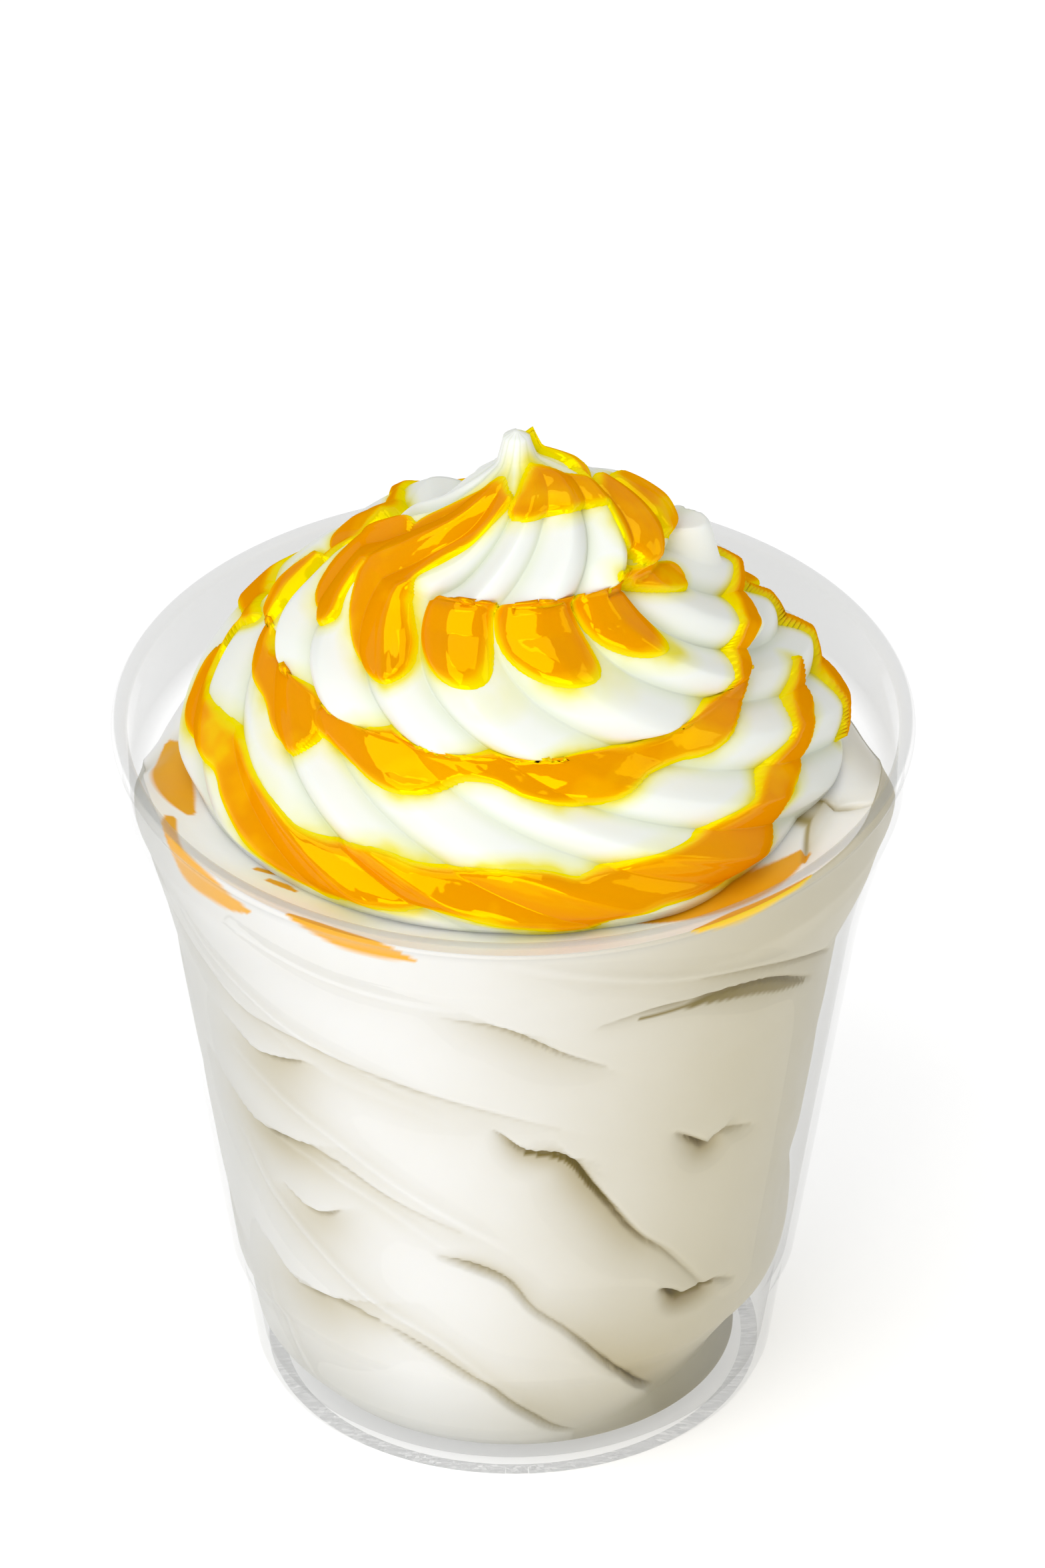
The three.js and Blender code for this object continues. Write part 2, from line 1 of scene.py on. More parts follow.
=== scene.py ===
# A soft-serve sundae in a clear plastic cup: the turned cup, the folded ice cream that fills it, the
# ridged swirl on top and the fruit sauce that lies on it in ribbons.
#
# Shapes are worked out in millimetres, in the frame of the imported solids, and go into meshes in metres.
# Azimuths are in degrees, 0 at the front and growing towards the right (+X).
import math

import bpy
import numpy as np
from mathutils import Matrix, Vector


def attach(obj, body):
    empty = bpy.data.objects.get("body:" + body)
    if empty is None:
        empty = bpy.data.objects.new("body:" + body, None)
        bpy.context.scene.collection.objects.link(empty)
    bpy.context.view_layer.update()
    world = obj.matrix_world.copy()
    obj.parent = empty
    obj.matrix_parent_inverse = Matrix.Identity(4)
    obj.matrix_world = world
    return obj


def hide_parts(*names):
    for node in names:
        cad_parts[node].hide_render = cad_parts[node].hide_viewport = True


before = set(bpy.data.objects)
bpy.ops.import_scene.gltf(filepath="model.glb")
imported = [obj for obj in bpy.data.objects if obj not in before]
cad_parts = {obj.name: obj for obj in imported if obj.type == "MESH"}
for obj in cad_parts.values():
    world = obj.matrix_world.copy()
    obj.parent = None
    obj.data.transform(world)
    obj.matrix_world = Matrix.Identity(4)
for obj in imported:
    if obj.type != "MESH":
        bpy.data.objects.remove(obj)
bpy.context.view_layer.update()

MM = 0.001

# ---- the camera and the light ----
PHOTO_ELEVATION = 35.0  # degrees by which the camera looks down
CAMERA_DISTANCE = 4500.0
CAMERA_AIM = (1.135, 0.0, 82.0)
LENS = 849.0
SENSOR = 36.0
CLIP = (0.05, 20.0)  # metres
STUDIO_WHITE = 0.44  # ambient light of the white room
LIGHT_AIM_HEIGHT = 0.08  # metres above the table that the softboxes face
# Softboxes: azimuth and elevation in degrees, distance, width and height in metres, and radiance.
SOFTBOXES = {
    "key_softbox": (-38, 50, 1.3, 1.0, 1.0, 2.0),
    "front_softbox": (-8, 10, 1.4, 0.9, 0.6, 3.1),
    "side_softbox": (75, 30, 1.4, 0.5, 0.9, 0.9),
    "top_softbox": (0, 88, 1.3, 0.9, 0.9, 1.3),
}
TABLE_REACH = 4.0  # metres to each side

# ---- the cup ----
CUP_HEIGHT = 92.0
RIM_RADIUS = 49.0
RIM_ROLL = 1.1  # half the height of the rim's roll
RIM_ROLL_DEGREES = np.arange(-60, 181, 15)  # 0 points outwards, 90 up
WALL = 0.9
FOOT_RADIUS = 30.0
FOOT_RING = 2.0  # width of the ring on which the cup stands
PUNT_SLOPE = 1.0  # width of the slope up to the raised base
PUNT_HEIGHT = 1.0
FOOT_BEVEL = (0.6, 0.8)  # how far in from the wall's edge, and how high, the foot's bevel ends
BASE_THICK = 1.0
BASE_CORNER = 1.4  # width of the slope from the wall to the base inside
CUP_SEGMENTS = 192
OUTSIDE_DENSITY = 0.04  # how much the wall hides, seen square on
INSIDE_DENSITY = 0.42  # and on its inner side, above the ice cream
BARE_FROM = 1.5  # mm above the ice cream at which the inner side counts as bare
EDGE_DENSITY = 0.36  # how much it hides where it turns away
EDGE_FROM = 0.35  # 1 less the cosine of the angle at which it starts to turn away
FAR_SIDE_SHARE = 0.12  # share of that which a face hides when it is seen from behind
LIGHT_SHARE = 0.1  # and which it hides from shadow and diffuse rays
# The wall's outside from the base's edge to the rim: radius and height.
OUTER_WALL = [
    (31.6, 2.2),
    (33.4, 14.2),
    (34.7, 16.6),
    (42.4, 65.0),
    (43.6, 70.0),
    (46.4, 79.8),
    (47.6, 83.0),
    (47.8, 88.4),
]

# ---- the filling ----
WALL_REACH = 0.12  # the ice cream reaches this far into the wall, so that no air gap shows
FILL_BOTTOM = 2.3
FILL_FOOT_RADIUS = 27.0
FILL_WALL_FOOT = 4.4  # height at which the ice cream reaches the wall
FRONT_LEVEL = 89.6  # where the ice cream's surface meets the wall in front
BACK_LEVEL = 81.0  # and behind
LEVEL_FALLS_FROM = 70.0  # it falls between these azimuths on both sides
LEVEL_FALLS_TO = 106.0
SEAT_HEIGHT = 87.7  # the level middle of the ice cream, on which the swirl stands
SEAT_RADIUS = 39.4
FILL_COLUMNS = 640
WALL_ROWS = 190
HEAP_ROWS = 40  # rows from the wall to the seat
HEAP_SMOOTHING = 0.3  # folds fade out over this share of the way, next to the seat

# ---- the swirl ----
TIERS = 3
MIDDLE = 1  # number of the middle tier, and tier height of the first crease
TOP = 2  # and of the top tier and the second crease
# The line that the tiers swell out from: tier height, radius and height in mm at the foot, the two
# creases, the shoulder of the tip, its cut edge and its end.
LINE_TIERS = [0.0, 1.0, 2.0, 2.74, 2.83, 2.93, 3.0]
LINE_RADIUS = [40.0, 28.3, 17.2, 5.2, 2.2, 1.6, 0.0]
LINE_HEIGHT = [88.0, 105.0, 119.3, 128.6, 130.4, 133.6, 134.3]
TIP_LEAN = 0.4  # mm that the tip stands to the right of the axis
TIP_LEAN_FROM = 2.5  # tier height where it starts to lean
SLOPE_OUT = np.array([-11.7, -11.1, -14.0])  # each tier's general slope, outwards and upwards
SLOPE_UP = np.array([17.0, 14.3, 11.5])
BULGE = np.array([4.4, 4.6, 3.4])  # how far each tier swells out of its creases
BULGE_SKEW = np.array([0.75, 0.72, 0.42])  # under 1 puts the widest part low on the tier
BULGE_ROUNDNESS = 0.62  # under 1 makes the creases deep and narrow
RIDGE_DEPTH = np.array([2.3, 2.6, 2.3])  # mm from the top of a ridge to the bottom of a groove
RIDGE_ROUNDNESS = 1.5  # 1 would make the ridges sharp, 2 round
GROOVES_FROM_RADIUS = 1.5  # towards the tip the grooves run out between these radii
GROOVES_TO_RADIUS = 10.0
FULLEST_AT = 80.0  # the top tier swells most at this azimuth
SLIM_SHARE = 0.3  # and by this share of its bulge on the far side
FULL_SHARE = 1.55
SLIM_FROM = -0.9  # cosine of the angle from FULLEST_AT at which it is slim
FULLNESS_FROM = (1.95, 2.2)  # tier heights between which the top tier's own fullness sets in
BRIDGE_AT = -66.0  # the second crease is filled round this azimuth, where the coil runs on
BRIDGE_HALF = 44.0  # it ends so many degrees to each side
BRIDGE_FULL = 22.0  # and is whole up to here
BRIDGE_REACH = (0.3, 0.8)  # tiers above and below the crease between which the filling ends
BRIDGE_SWELL = 3.2
STUB_AT = (97.0, 1.82)  # a broken end of cream stands up at this azimuth and tier height
STUB_HALF = (11.0, 0.3)
STUB_EDGE = 0.35  # share of its half size over which its sides rise
STUB_TOP = 119.8
SAG = np.array([1.6, 2.2, 2.2])  # how far the ridges hang over the crease below
SAG_POWER = 1.5
HANG_START = 0.12  # share of a tier above the crease over which the sag sets in
LOBES = 14  # ridges all round
TIP_TAPER = 0.35  # tiers below the tip over which the swelling fades out
CREASED_GROOVE = 0.7  # least share of their depth that the top tier's grooves keep at its ends
BRIDGED_GROOVE = 0.9  # and that grooves keep where the second crease is filled
SWEEP = np.array([66.0, 34.0, -55.0])  # degrees that a ridge runs to the right on its way down a tier
SWEEP_POWER = np.array([1.1, 1.9, 1.0])
FIRST_GROOVE = -6.0  # azimuth at which the first groove crosses the second crease
UNEVEN_TWICE = 2.5  # degrees by which grooves stray from even spacing, twice round
UNEVEN_FIVE = 2.0  # and five times round
FOOT_DENT = 2.6  # mm by which the foot is narrower round this azimuth
FOOT_DENT_AT = 60.0
FOOT_DENT_HALF = 32.0
FOOT_DENT_TOP = 0.7  # the dent ends at this tier height
COIL_CLIMB_FROM = 95.0  # the coil is level in front and climbs behind this azimuth
COIL_CLIMB = 0.5  # tiers that it climbs on each side
COIL_TILT = 0.03  # tiers by which the creases are higher on the left and lower on the right
BACK_NARROWING = 0.09  # share of the radius by which the swirl is narrower behind
BACK_DROP = 5.0  # mm by which the upper tiers are lower behind
BACK_DROP_FROM = (0.8, 2.0)  # tier heights between which they come to be lower
BACK_DROP_FADE = 0.5  # tiers below the tip over which that ends
LOWEST_AT = -160.0  # most at this azimuth
LOW_EDGE = 0.1  # mm above the foot, below which nothing else of the swirl lies
COLUMNS_PER_LOBE = 40
SWIRL_ROWS = 168

# ---- the sauce ----
SAUCE_THICK = 0.8
SAUCE_EDGE = 0.45  # share of a ribbon's half width over which it rounds off
GROOVE_FILL = 0.45  # how far sauce fills the grooves, as a share of the way to a level
GROOVE_FILL_LEVEL = 0.85  # that level, 1 being the top of a ridge
CREASE_FILL = 0.8  # the same for the creases between tiers
CREASE_FILL_LEVEL = 0.55  # 1 being where the tier swells most
STROKE_STEPS = 6  # short steps between two points of a stroke
TIER_SLOPE = 20.0  # mm along the surface from one crease to the next
SURFACE_SWELL = 3.5  # mm by which the surface on the whole stands out from the line
SAUCE_DIVE = 0.5  # mm that the sauce's edge dips into the cream
SAUCE_DIVE_WITHIN = 0.3  # mm outside a ribbon's edge within which it dips
SAUCE_MARGIN = 0.9  # mm of dipped sauce kept round every ribbon
SAUCE_BODY = 0.5  # mm that the sauce reaches down from its surface
STAIN_REACH = 2.0  # mm of cream that the sauce has tinted beside a ribbon
GROOVE_SHADE_FROM = 0.4  # share of a groove's depth from which painted shade darkens it
SAUCE_FULL_DEPTH = 1.15  # mm in from a ribbon's edge where its colour is full

# Ribbons of sauce: azimuth in degrees, height in tiers from the foot, half width in mm.
RIBBONS = {
    "crest": [(2, 2.62, 1.2), (15, 2.66, 2.4), (36, 2.68, 2.9), (54, 2.64, 2.8), (66, 2.57, 2.2),
        (68, 2.48, 1.1)],
    "tip": [(112, 2.92, 0.35), (100, 2.77, 0.6), (90, 2.69, 0.7), (75, 2.6, 0.8), (68, 2.48, 0.8)],
    "crown": [(88, 2.52, 1.6), (79, 2.41, 3), (71, 2.29, 3.9), (66, 2.18, 4)],
    "crown_side": [(104, 2.38, 1.6), (97, 2.22, 2.8), (88, 2.1, 2.4)],
    "crown_shelf": [(42, 2.1, 0.6), (54, 2, 1.6), (64, 1.92, 2.4), (72, 1.84, 2.6)],
    "crescent": [(-7, 2.69, 1), (-25, 2.65, 2.9), (-38, 2.55, 4), (-49, 2.39, 4.7), (-57, 2.14, 5),
        (-54, 1.92, 5.2), (-48, 1.75, 5), (-42, 1.63, 4.4), (-37, 1.56, 3)],
    "crescent_side": [(-74, 2.28, 2.2), (-80, 2.13, 3.8), (-82, 1.92, 4.8), (-78, 1.72, 4.4),
        (-69, 1.6, 2.4)],
    "crescent_back": [(-137, 1.85, 1), (-122, 1.95, 2.4), (-113, 1.88, 2.5), (-106, 1.74, 1.9),
        (-96, 1.68, 0.6)],
    "waist_left": [(-103, 1.55, 0.6), (-97, 1.34, 1.2), (-91, 1.18, 1.3), (-87, 0.98, 1.6), (-79, 0.91, 1.8),
        (-67, 0.95, 3), (-58, 0.9, 3.8), (-53, 0.84, 3.2)],
    "waist": [(-49, 0.99, 2.2), (-37, 0.96, 2.9), (-27, 0.94, 3.9), (-19, 0.93, 3.1), (-12, 0.97, 2),
        (-4, 0.98, 2.1), (4, 0.92, 2.6), (13, 0.9, 3.5), (21, 0.88, 3.2), (30, 0.91, 2.1),
        (39, 0.91, 2), (49, 0.92, 3), (62, 0.94, 1.6), (70, 1, 1)],
    "waist_right": [(106, 1.5, 0.9), (99, 1.37, 1.3), (91, 1.3, 1.6), (82, 1.27, 2), (75, 1.22, 2.3),
        (69, 1.13, 2), (61, 1.06, 1.4)],
    "waist_back": [(106, 1.5, 0.9), (125, 1.5, 2.6), (150, 1.4, 2.2), (178, 1.42, 3.2), (205, 1.6, 2.6),
        (223, 1.82, 1)],
    "foot_left": [(-99, 0.8, 0.6), (-98, 0.53, 1.1), (-91, 0.41, 1.8), (-83, 0.37, 2.9), (-67, 0.45, 2.4),
        (-58, 0.37, 2.9), (-50, 0.29, 3.3), (-42, 0.22, 3.3), (-34, 0.2, 3.5)],
    "foot": [(-34, 0.2, 3.6), (-26, 0.26, 3.4), (-19, 0.25, 2.9), (-12, 0.26, 2.4), (-4, 0.26, 3),
        (4, 0.21, 3.8), (11, 0.16, 3.6), (17, 0.21, 3.1), (26, 0.24, 3), (34, 0.22, 3.4),
        (41, 0.22, 3.9), (51, 0.25, 3.5), (57, 0.37, 2.8), (66, 0.41, 2.4)],
    "foot_right": [(88, 0.66, 0.8), (82, 0.59, 1.7), (75, 0.56, 1.9), (70, 0.46, 2.2), (65, 0.4, 2.2)],
    "foot_edge": [(116, 0.8, 1.2), (112, 0.56, 1.7), (107, 0.37, 1.9), (101, 0.27, 2.1), (93, 0.24, 1.8),
        (87, 0.12, 1)],
    "foot_back": [(116, 0.8, 1.2), (126, 0.56, 2), (150, 0.42, 3), (178, 0.5, 2.4), (210, 0.62, 3),
        (240, 0.6, 2.4), (261, 0.8, 1.2)],
}
# Ribbons that have gathered under an overhang end at it: the tier height that they don't pass on a
# ridge. They reach higher in the grooves.
CEILINGS = {"waist": 1.04}
CEILING_IN_GROOVES = 0.16
# Sauce that has run down from the second crease between two grooves: ridge number and share of the tier.
RUNS = {0: 0.5, 1: 0.46, 5: 0.34, 6: 0.46, 13: 0.5}
RUN_SQUARENESS = 2.5  # 2 would make the tongues' ends round
RUN_HALF_WIDTH = 4.5
RUN_TUCK = 0.05  # share of the upper tier over which they start under its overhang


# ---- small helpers ----
def smooth_step(value, low, high):
    share = np.clip((value - low) / (high - low), 0, 1)
    return share * share * (3 - 2 * share)


def plateau(value, rise, fall):
    """0 before the rise, 1 between the rise and the fall, 0 after: each a pair of values."""
    return smooth_step(value, *rise) * (1 - smooth_step(value, *fall))


def around(azimuth, radius, height):
    """Points at azimuths, radii and heights, in an array whose last axis is x, y, z."""
    angle = np.radians(azimuth)
    return np.stack([radius * np.sin(angle), -radius * np.cos(angle), height + 0 * angle], axis=-1)


def wrap(azimuth):
    """An azimuth between -180 and 180."""
    return (azimuth + 180) % 360 - 180


def inner_radius(height):
    radii = [radius - WALL for radius, _ in OUTER_WALL]
    heights = [level for _, level in OUTER_WALL]
    return np.interp(height, heights, radii)


def smooth_stroke(points):
    """A stroke's points with a smooth curve through them (Catmull-Rom)."""
    knots = np.array(points, float)
    ends = np.vstack([2 * knots[0] - knots[1], knots, 2 * knots[-1] - knots[-2]])
    out = []
    for i in range(1, len(ends) - 2):
        before, start, stop, after = ends[i - 1 : i + 3]
        for t in np.arange(STROKE_STEPS) / STROKE_STEPS:
            bend = (2 * before - 5 * start + 4 * stop - after) * t * t
            twist = (3 * start - before - 3 * stop + after) * t**3
            out.append(0.5 * (2 * start + (stop - before) * t + bend + twist))
    out.append(knots[-1])
    return np.array(out)


# ---- meshes ----
def grid_faces(rows, columns):
    """Quads of a surface made of closed rings, the lowest ring first."""
    row, column = np.meshgrid(np.arange(rows - 1), np.arange(columns), indexing="ij")
    beside = (column + 1) % columns
    a = row * columns + column
    b = row * columns + beside
    return np.stack([a, b, b + columns, a + columns], axis=-1).reshape(-1, 4)


def add_piece(name, points, faces, finish, attributes=None):
    """A mesh piece from points in mm and lists of corners, with numbers that its material reads."""
    mesh = bpy.data.meshes.new(name)
    mesh.from_pydata((np.asarray(points) * MM).tolist(), [], faces)
    mesh.shade_smooth()
    for label, values in (attributes or {}).items():
        layer = mesh.attributes.new(label, "FLOAT", "POINT")
        layer.data.foreach_set("value", np.asarray(values, np.float32))
    mesh.materials.append(finish)
    piece = bpy.data.objects.new(name, mesh)
    bpy.context.collection.objects.link(piece)
    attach(piece, "root")
    return piece


def ringed_solid(rings, low_point, high_point):
    """Points and faces of a closed body from rings of points, closed by one point below and one above."""
    rows, columns = rings.shape[:2]
    points = np.vstack([rings.reshape(-1, 3), [low_point], [high_point]])
    faces = grid_faces(rows, columns).tolist()
    low = rows * columns
    top = (rows - 1) * columns
    for column in range(columns):
        beside = (column + 1) % columns
        faces.append([low, beside, column])
        faces.append([top + column, top + beside, low + 1])
    return points, faces


def cut_patch(rings, keep):
    """Points and faces of the part of a ringed surface near which keep is true, and what it kept."""
    rows, columns = rings.shape[:2]
    faces = grid_faces(rows, columns)
    faces = faces[keep.reshape(-1)[faces].any(axis=1)]
    used, renumbered = np.unique(faces, return_inverse=True)
    return rings.reshape(-1, 3)[used], renumbered.reshape(-1, 4).tolist(), used


# ---- node helpers ----
def new_material(name):
    """A material, its node tree and its shader node."""
    material = bpy.data.materials.new(name)
    material.use_nodes = True
    return material, material.node_tree, material.node_tree.nodes["Principled BSDF"]


def set_inputs(node, values):
    for label, value in values.items():
        node.inputs[label].default_value = value


def map_range(tree, value, from_range, to_range, interpolation="LINEAR"):
    """A value taken from one range to another, whose ends are numbers or sockets."""
    node = tree.nodes.new("ShaderNodeMapRange")
    node.interpolation_type = interpolation
    set_inputs(node, {"From Min": from_range[0], "From Max": from_range[1]})
    tree.links.new(value, node.inputs["Value"])
    for label, end in (("To Min", to_range[0]), ("To Max", to_range[1])):
        if isinstance(end, (int, float)):
            node.inputs[label].default_value = end
        else:
            tree.links.new(end, node.inputs[label])
    return node.outputs["Result"]


def combine(tree, operation, first, second):
    """What a Math node makes of two sockets."""
    node = tree.nodes.new("ShaderNodeMath")
    node.operation = operation
    tree.links.new(first, node.inputs[0])
    tree.links.new(second, node.inputs[1])
    return node.outputs["Value"]


def new_group(name, inputs, output, kind):
    """A node group with number inputs and one output, and the nodes for them inside it."""
    group = bpy.data.node_groups.new(name, "ShaderNodeTree")
    for label, value in inputs.items():
        socket = group.interface.new_socket(label, in_out="INPUT", socket_type="NodeSocketFloat")
        socket.default_value = value
    group.interface.new_socket(output, in_out="OUTPUT", socket_type=kind)
    return group, group.nodes.new("NodeGroupInput"), group.nodes.new("NodeGroupOutput")


def object_noise(tree, scale, detail):
    """Noise with its place taken from the object."""
    place = tree.nodes.new("ShaderNodeTexCoord")
    noise = tree.nodes.new("ShaderNodeTexNoise")
    noise.inputs["Detail"].default_value = detail
    tree.links.new(place.outputs["Object"], noise.inputs["Vector"])
    tree.links.new(scale, noise.inputs["Scale"])
    return noise.outputs["Fac"]


def make_mottle():
    """Slow, cloudy variation between two values."""
    inputs = {"Scale": 60.0, "Low": 0.0, "High": 1.0}
    group, given, made = new_group("mottle", inputs, "Value", "NodeSocketFloat")
    noise = object_noise(group, given.outputs["Scale"], 3.0)
    spread = map_range(group, noise, (0.3, 0.7), (given.outputs["Low"], given.outputs["High"]))
    group.links.new(spread, made.inputs["Value"])
    return group


def make_skin():
    """The normal of a soft surface with fine, shallow unevenness."""
    inputs = {"Scale": 400.0, "Depth": 0.0001, "Strength": 0.3}
    group, given, made = new_group("skin", inputs, "Normal", "NodeSocketVector")
    noise = object_noise(group, given.outputs["Scale"], 2.0)
    bump = group.nodes.new("ShaderNodeBump")
    link = group.links.new
    link(noise, bump.inputs["Height"])
    link(given.outputs["Depth"], bump.inputs["Distance"])
    link(given.outputs["Strength"], bump.inputs["Strength"])
    link(bump.outputs["Normal"], made.inputs["Normal"])
    return group


MOTTLE = make_mottle()
SKIN = make_skin()


def place_group(tree, group, **values):
    """The output of a node group with these inputs."""
    node = tree.nodes.new("ShaderNodeGroup")
    node.node_tree = group
    set_inputs(node, values)
    return node.outputs[0]


def read_number(tree, label):
    """A number stored at the points of the mesh."""
    node = tree.nodes.new("ShaderNodeAttribute")
    node.attribute_name = label
    return node.outputs["Fac"]


def turned_away(tree):
    """1 less the cosine of the angle between the view and the face's normal."""
    node = tree.nodes.new("ShaderNodeLayerWeight")
    node.inputs["Blend"].default_value = 0.5
    return node.outputs["Facing"]


def colour_ramp(tree, share, stops):
    """The colour at a share of the way along (place, colour) stops."""
    node = tree.nodes.new("ShaderNodeValToRGB")
    elements = node.color_ramp.elements
    while len(elements) > 1:
        elements.remove(elements[-1])
    elements[0].position, elements[0].color = stops[0][0], (*stops[0][1], 1)
    for place, colour in stops[1:]:
        elements.new(place).color = (*colour, 1)
    tree.links.new(share, node.inputs["Fac"])
    return node.outputs["Color"]


def mix_colours(tree, blend, share, first, second):
    """A colour socket: first blended with second, each a colour socket or a plain colour."""
    mix = tree.nodes.new("ShaderNodeMix")
    mix.data_type = "RGBA"
    mix.blend_type = blend
    tree.links.new(share, mix.inputs["Factor"])
    for label, colour in (("A", first), ("B", second)):
        if isinstance(colour, tuple):
            mix.inputs[label].default_value = (*colour, 1)
        else:
            tree.links.new(colour, mix.inputs[label])
    return mix.outputs["Result"]


# ---- the looks ----
def finish_cream(tree, shader, colour, shade, rough):
    """Ice cream's faint mottle, fine skin and soft light, on the colour that it is given."""
    cloud = place_group(tree, MOTTLE, Scale=70.0, Low=0.0, High=1.0)
    mottled = mix_colours(tree, "MULTIPLY", cloud, colour, shade)
    tree.links.new(mottled, shader.inputs["Base Color"])
    gloss = place_group(tree, MOTTLE, Scale=220.0, Low=rough[0], High=rough[1])
    tree.links.new(gloss, shader.inputs["Roughness"])
    skin = place_group(tree, SKIN, Scale=500.0, Depth=0.00012, Strength=0.35)
    tree.links.new(skin, shader.inputs["Normal"])
    values = {
        "Subsurface Weight": 0.25,
        "Subsurface Radius": (0.001, 0.0009, 0.0007),
        "Subsurface Scale": 1.0,
    }
    set_inputs(shader, values)


def make_soft_serve():
    """White soft serve, tinted lemon beside the sauce, with painted yellow-green shade in its grooves."""
    material, tree, shader = new_material("white_soft_serve")
    spread = place_group(tree, MOTTLE, Scale=90.0, Low=0.15, High=1.5)
    stain = combine(tree, "MULTIPLY", read_number(tree, "near_sauce"), spread)
    stops = [(0.0, (0.85, 0.87, 0.82)), (0.5, (0.84, 0.85, 0.55)), (1.0, (0.82, 0.74, 0.05))]
    tint = colour_ramp(tree, stain, stops)
    # painted shade: the grooves are darkened and tinted yellow-green in the colour
    groove = read_number(tree, "groove")
    shaded = mix_colours(tree, "MULTIPLY", groove, tint, (0.9, 0.92, 0.82))
    finish_cream(tree, shader, shaded, (0.985, 0.985, 0.985), (0.34, 0.46))
    return material


def make_folded_cream():
    """Ivory ice cream, yellow where sauce has run, with painted shade: darker in its creases and dark gaps,
    on the wall, at its foot and left of the front, and warmer and darker on the right.
    """
    material, tree, shader = new_material("ivory_ice_cream")
    stops = [
        (0.0, (0.93, 0.93, 0.915)),
        (0.15, (0.83, 0.81, 0.74)),
        (0.35, (0.68, 0.62, 0.46)),
        (0.65, (0.42, 0.33, 0.12)),
        (1.0, (0.2, 0.15, 0.01)),
    ]
    # painted shade: the deeper a crease, valley or fold, the darker and browner its colour
    fold = colour_ramp(tree, read_number(tree, "fold_depth"), stops)
    # painted shade: the ice cream pressed to the wall is darker than the heap
    on_wall = read_number(tree, "on_wall")
    pressed = mix_colours(tree, "MULTIPLY", on_wall, fold, (0.85, 0.845, 0.835))
    # painted grey shade left of the front and at the foot
    grey_shade = read_number(tree, "grey_shade")
    grey_shaded = mix_colours(tree, "MULTIPLY", grey_shade, pressed, (0.73, 0.73, 0.7))
    # painted shade on the right: darker and warmer; the same mask makes the run sauce yellower there
    warmth_and_shade = read_number(tree, "warmth_and_shade")
    warmed = mix_colours(tree, "MULTIPLY", warmth_and_shade, grey_shaded, (0.7, 0.64, 0.47))
    sauce = colour_ramp(tree, warmth_and_shade, [(0.0, (0.84, 0.4, 0.0)), (1.0, (0.93, 0.62, 0.0))])
    streaked = mix_colours(tree, "MIX", read_number(tree, "streak"), warmed, sauce)
    # painted shade: dark where no light falls into the gaps
    dark_gap = read_number(tree, "dark_gap")
    shaded = mix_colours(tree, "MIX", dark_gap, streaked, (0.2, 0.14, 0.005))
    finish_cream(tree, shader, shaded, (0.975, 0.97, 0.955), (0.42, 0.55))
    return material


def make_sauce():
    """Clear thick fruit sauce: orange where it is deep, lemon where it thins out, and glossy."""
    material, tree, shader = new_material("fruit_sauce")
    cloud = place_group(tree, MOTTLE, Scale=75.0, Low=0.45, High=1.9)
    uneven = combine(tree, "MULTIPLY", read_number(tree, "sauce_depth"), cloud)
    stops = [
        (0.0, (0.92, 0.78, 0.0)),
        (0.3, (0.92, 0.62, 0.0)),
        (0.6, (0.9, 0.39, 0.0)),
        (1.0, (0.82, 0.29, 0.0)),
    ]
    tree.links.new(colour_ramp(tree, uneven, stops), shader.inputs["Base Color"])
    gloss = place_group(tree, MOTTLE, Scale=160.0, Low=0.03, High=0.07)
    tree.links.new(gloss, shader.inputs["Roughness"])
    skin = place_group(tree, SKIN, Scale=260.0, Depth=0.0004, Strength=0.3)
    tree.links.new(skin, shader.inputs["Normal"])
    sheen = map_range(tree, turned_away(tree), (0.15, 0.45), (0.5, 0.0))
    tree.links.new(sheen, shader.inputs["Specular IOR Level"])
    values = {
        "IOR": 2.2,
        "Specular Tint": (1.0, 0.85, 0.0, 1.0),
        "Subsurface Weight": 0.15,
        "Subsurface Radius": (0.001, 0.0006, 0.0001),
        "Subsurface Scale": 1.0,
    }
    set_inputs(shader, values)
    return material


def make_clear_plastic():
    """Thin clear plastic: hardly there seen square on, greyer and glossier where the wall turns away."""
    material, tree, shader = new_material("clear_plastic")
    bare = read_number(tree, "bare_inner_side")
    square_on = map_range(tree, bare, (0, 1), (OUTSIDE_DENSITY, INSIDE_DENSITY))
    ends = (square_on, EDGE_DENSITY)
    density = map_range(tree, turned_away(tree), (EDGE_FROM, 1), ends, "SMOOTHSTEP")
    seen_from = tree.nodes.new("ShaderNodeNewGeometry")
    far_side = map_range(tree, seen_from.outputs["Backfacing"], (0, 1), (1, FAR_SIDE_SHARE))
    ray = tree.nodes.new("ShaderNodeLightPath")
    shadow = ray.outputs["Is Shadow Ray"]
    lighting = combine(tree, "MAXIMUM", shadow, ray.outputs["Is Diffuse Ray"])
    for_light = map_range(tree, lighting, (0, 1), (1, LIGHT_SHARE))
    alpha = combine(tree, "MULTIPLY", density, far_side)
    alpha = combine(tree, "MULTIPLY", alpha, for_light)
    tree.links.new(alpha, shader.inputs["Alpha"])
    tone = place_group(tree, MOTTLE, Scale=30.0, Low=0.05, High=0.09)
    tree.links.new(tone, shader.inputs["Roughness"])
    set_inputs(shader, {"Base Color": (0.34, 0.35, 0.34, 1), "Specular IOR Level": 0.45})
    return material


SOFT_SERVE = make_soft_serve()
FOLDED_CREAM = make_folded_cream()
SAUCE = make_sauce()
CLEAR_PLASTIC = make_clear_plastic()


# ---- the cup ----
def rim_roll_outline():
    """The rim's roll from its outside foot over the top to its inside foot."""
    middle = CUP_HEIGHT - RIM_ROLL
    inside = OUTER_WALL[-1][0] - WALL
    half = (RIM_RADIUS - inside) / 2
    outline = []
    for angle in np.radians(RIM_ROLL_DEGREES):
        outline.append((inside + half + half * math.cos(angle), middle + RIM_ROLL * math.sin(angle)))
    return outline


